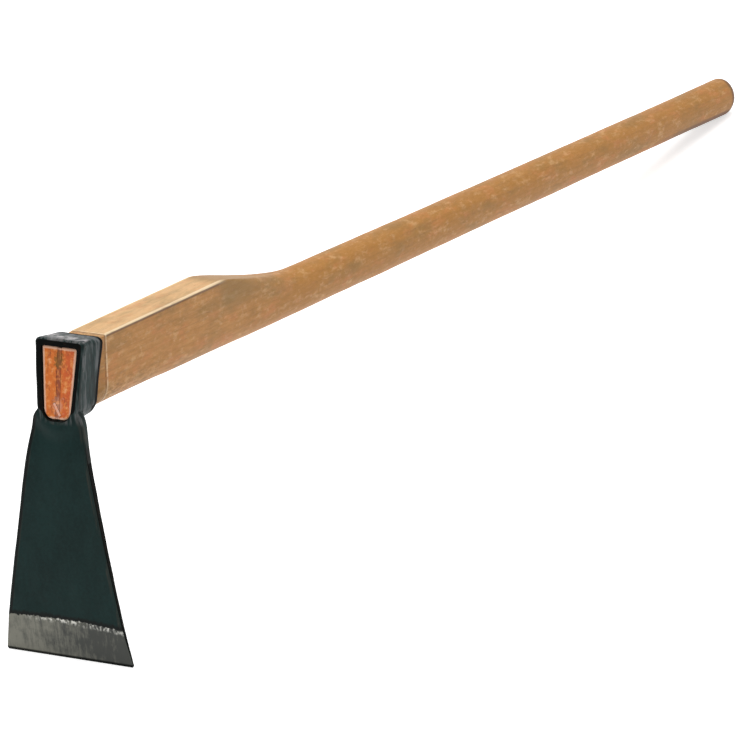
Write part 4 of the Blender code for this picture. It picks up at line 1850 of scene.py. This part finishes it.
        s_down, s_up = self.distances()
        on_ring, pin = self.is_ring[None, :, None], self.eye_skin(np.array([[thick / 2]]))
        blade_front = np.where(on_ring, pin, self.blade_skin(s_down, back=False))
        blade_back = np.where(on_ring, pin, self.blade_skin(s_up, back=True))
        step = np.minimum(np.arange(steps - 1, -1, -1)[:, None], self.step_of[None, :])
        _, deep = self.side_step(step, 0.0, thick / 2)
        over_back = np.where(self.is_under[None, :, None], blade_back[-1:], self.eye_skin(thick - deep))

        turn = quarter_turn(self.rows_rear_edge)[1:]
        rear_round = self.eye_skin(self.depth - self.eye_edge * (1.0 - np.sin(turn)),
                                   self.eye_edge * (1.0 - np.cos(turn)))
        rear_bore = self.bore_skin(self.depth - off_turn, in_turn)
        shares = np.linspace(0.0, 1.0, self.rows_rear_wall)[1:-1, None, None]
        rear_wall = mix(rear_round[-1:], rear_bore[:1], shares)
        shares = np.linspace(0.0, 1.0, self.rows_through)[1:-1, None, None]
        through = mix(rear_bore[-1:], front_round[:1], shares)
        groups = {
            "bore_front": front_round, "front_wall": front_wall, "over_front": over_front,
            "blade_front": blade_front, "blade_back": blade_back, "over_back": over_back,
            "side_run": self.side_run(thick, blade_back[-1:]), "rear_round": rear_round,
            "rear_wall": rear_wall, "rear_bore": rear_bore, "through": through,
        }
        rows = np.concatenate(list(groups.values()))
        self.record_marks(groups, rows, s_down, s_up)
        return rows

    def record_marks(self, groups: dict[str, Array], rows: Array, s_down: Array, s_up: Array) -> None:
        """Keep each point's distances past the ground line and to the cutting edge, and how near a rim it is.

        Args:
            groups: the grid's rows by the part that they belong to.
            rows: all of the grid's points.
            s_down: how far down the front each point of the blade's face lies.
            s_up: the same for its back.
        """
        ends = np.cumsum([len(part) for part in groups.values()])
        at = {name: slice(end - len(part), end) for (name, part), end in zip(groups.items(), ends)}
        past = np.full(rows.shape[:2], -self.off_blade)
        past[at["blade_front"]] = s_down - self.ground_line(self.across)[None, :]
        to_edge = np.full(rows.shape[:2], self.off_blade)
        to_edge[at["blade_front"]] = self.length - s_down
        # Faces marked all rim are laid dull black: partly painted shade on edges turned from the light and at
        # the bore's mouth.
        rim = np.zeros(rows.shape[:2])
        for name in ("bore_front", "rear_round", "rear_wall", "rear_bore"):
            rim[at[name]] = 1.0
        rim[at["side_run"].stop - self.dark_rows:at["side_run"].stop] = 1.0
        rim[at["front_wall"]] = np.where(self.is_under, self.faint_rim, 1.0)
        blade = slice(at["blade_front"].start, at["blade_back"].stop)
        from_side = rows[blade, :, 1].max(axis=1, keepdims=True) - rows[blade, :, 1]
        near_side = np.clip(1.0 - from_side / self.rim_reach, 0.0, 1.0) * self.is_under
        below = smooth((np.concatenate((s_down, s_up)) - self.side_rim_start) / self.side_rim_length)
        side_columns = (self.step_of > 0) & (~self.is_ring)
        rim[blade] = np.where(side_columns, self.faint_rim + (1.0 - self.faint_rim) * below, near_side)
        on_blade = np.zeros(len(rows), bool)
        on_blade[blade] = True
        self.marks = {"past_ground_line": past, "to_cutting_edge": to_edge, "rim": rim, "on_blade": on_blade}

    def build(self) -> bpy.types.Object:
        """Build the head's piece from both halves of its grid.

        Returns:
            The piece.
        """
        half = self.half_rows()
        keep_half = np.ones(half.shape[:2], bool)
        keep_half[np.ix_(np.roll(self.marks["on_blade"], -1), self.is_ring)] = False
        cells = keep_half[:, :-1]
        keep = np.concatenate((cells, cells[:, ::-1]), axis=1)
        fields = {label: np.concatenate((self.marks[label], self.marks[label][:, MIRROR]), axis=1)
                  for label in ("past_ground_line", "to_cutting_edge", "rim")}
        points = self.lie.place(both_halves(half))
        piece = mesh_from_rows("forged_head", points, keep, wrap_rows=True, fields=fields)
        past = read_mark(piece.data, "past_ground_line")
        off_band = 1.0 - smooth((past + self.smooth_above) / self.smooth_over)
        press_in(piece.data, self.hammering.depth(read(piece.data, "co")) * off_band)
        return piece

    def dress(self, piece: bpy.types.Object) -> None:
        """Give the piece its paint, and the dull black of forge scale and painted shade to the faces that are
        all rim.

        Args:
            piece: the head's piece.
        """
        mesh = piece.data
        mesh.materials.clear()
        mesh.materials.append(ForgingFinish(self.lie, self.fit).material("painted_forging"))
        mesh.materials.append(ScaleAndShadeFinish(self.lie).material("scale_and_painted_shade"))
        corners, starts = np.empty(len(mesh.loops), np.int32), np.empty(len(mesh.polygons), np.int32)
        mesh.loops.foreach_get("vertex_index", corners)
        mesh.polygons.foreach_get("loop_start", starts)
        lowest = np.minimum.reduceat(read_mark(mesh, "rim")[corners], starts)
        mesh.polygons.foreach_set("material_index", (lowest > self.all_rim).astype(np.int32))


@dataclass(frozen=True)
class Viewpoint:
    """Where the photograph was taken from, as angles about the hoe and the picture's own width."""

    azimuth: float = math.radians(-57.6386)
    elevation: float = math.radians(23.8120)
    roll: float = math.radians(7.0639)
    distance: float = 4.445
    target: tuple[float, float, float] = (-0.36736, -0.18166, 0.18036)
    sensor: float = 36.0
    focal_pixels: float = 6500.0
    picture_pixels: float = 736.0
    clip_end: float = 50.0

    def place(self) -> bpy.types.Object:
        """Add the camera.

        Its back points along (sin a cos e, -cos a cos e, sin e), and its up leans from the vertical by its
        roll.

        Returns:
            The camera.
        """
        a, e = self.azimuth, self.elevation
        back = Vector((math.sin(a) * math.cos(e), -math.cos(a) * math.cos(e), math.sin(e)))
        level = Vector((math.cos(a), math.sin(a), 0.0))
        upright = back.cross(level)
        right = level * math.cos(self.roll) - upright * math.sin(self.roll)
        up = upright * math.cos(self.roll) + level * math.sin(self.roll)
        data = bpy.data.cameras.new("photograph")
        data.sensor_width = self.sensor
        data.lens = self.focal_pixels / self.picture_pixels * self.sensor
        data.clip_end = self.clip_end
        camera = bpy.data.objects.new("photograph", data)
        bpy.context.scene.collection.objects.link(camera)
        spot = Vector(self.target) + back * self.distance
        turned = Matrix((right, up, back)).transposed().to_4x4()
        camera.matrix_world = Matrix.Translation(spot) @ turned
        return camera


@dataclass(frozen=True)
class Lamp:
    """One soft area light."""

    name: str
    spot: tuple[float, float, float]
    aim: tuple[float, float, float]
    width: float
    height: float
    watts: float

    def place(self) -> None:
        """Add the light."""
        data = bpy.data.lights.new(self.name, "AREA")
        data.shape, data.size, data.size_y = "RECTANGLE", self.width, self.height
        data.energy = self.watts
        light = bpy.data.objects.new(self.name, data)
        light.location = self.spot
        toward = Vector(self.aim) - Vector(self.spot)
        light.rotation_euler = toward.to_track_quat("-Z", "Y").to_euler()
        bpy.context.scene.collection.objects.link(light)


@dataclass(frozen=True)
class Studio:
    """The pale floor, the world and the soft lights."""

    floor_reach: float = 9.0
    floor_points: int = 9
    floor_colour: Colour = (0.90, 0.90, 0.90)
    floor_roughness: float = 0.9
    floor_glow: float = 0.61
    world_glow: float = 0.37
    lamps: tuple[Lamp, ...] = (
        Lamp("overhead", (0.2, -0.1, 2.6), (0.0, 0.0, 0.1), 2.6, 2.0, 56.0),
        Lamp("front_side", (-2.8, -0.6, 1.0), (-0.45, 0.0, 0.15), 1.2, 1.0, 9.0),
        Lamp("right_side", (0.9, -2.6, 1.3), (0.0, 0.0, 0.1), 1.6, 1.2, 1.0),
    )

    def floor(self) -> bpy.types.Object:
        """Add the floor, which the camera and mirrors see as white apart from the hoe's shadow.

        Returns:
            The floor.
        """
        line = np.linspace(-self.floor_reach, self.floor_reach, self.floor_points)
        x, y = np.meshgrid(line, line, indexing="ij")
        floor = mesh_from_rows("floor", np.stack((x, y, np.zeros_like(x)), axis=-1), around=False)
        bench = Bench(bpy.data.materials.new("pale_floor"))
        bench.finish(Base_Color=self.floor_colour, Roughness=self.floor_roughness, Specular_IOR_Level=0.0)
        strength = bench.seen() * self.floor_glow
        glow = bench.node("ShaderNodeEmission", None, {"Color": WHITE, "Strength": strength})
        both = bench.node("ShaderNodeAddShader", None, {0: glow, 1: Field(bench, bench.shader.outputs[0])})
        bench.feed(bench.tree.nodes["Material Output"].inputs["Surface"], both)
        floor.data.materials.append(bench.owner)
        return floor

    def world(self) -> None:
        """Light the scene evenly, and show the camera and mirrors a white background."""
        world = bpy.data.worlds.new("studio")
        bpy.context.scene.world = world
        bench = Bench(world, "Background")
        inputs = {"Value": bench.seen(), "To Min": self.world_glow, "To Max": 1.0}
        bench.finish(Color=WHITE, Strength=bench.node("ShaderNodeMapRange", None, inputs))

    def build(self) -> bpy.types.Object:
        """Set the studio up and return its floor.

        Returns:
            The floor.
        """
        self.world()
        for lamp in self.lamps:
            lamp.place()
        bpy.context.scene.view_settings.view_transform = "Standard"
        return self.floor()


def main() -> None:
    """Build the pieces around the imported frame, dress them, and set the studio and the camera."""
    logging.basicConfig(level=logging.INFO, format="%(message)s")
    for old in list(bpy.data.objects):
        bpy.data.objects.remove(old)
    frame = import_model()
    lie, fit = Lie(), EyeFit()
    handle, head = AshHandle(lie, fit), ForgedHead(lie, fit)
    bpy.context.scene.camera = Viewpoint().place()

    for builder, node, slot in ((handle, "handle", "ash"), (head, "hoe_head", "forging_paint")):
        piece = builder.build()
        builder.dress(piece)
        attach(piece, "root")
        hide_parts(node)
        LOG.info("%s stands for %s", piece.name, node)

    finishes = {
        "wooden_wedge": handle.finish(Grain.WEDGE).material("painted_wedge"),
        "steel_wedge": WedgeSteelFinish(lie).material("wedge_steel_finish"),
    }
    for node, material in finishes.items():
        slots = frame["nodes"][node].data.materials
        for number in range(len(slots)):
            slots[number] = material
        LOG.info("%s dressed", node)

    Studio().build()


if __name__ == "__main__":
    main()
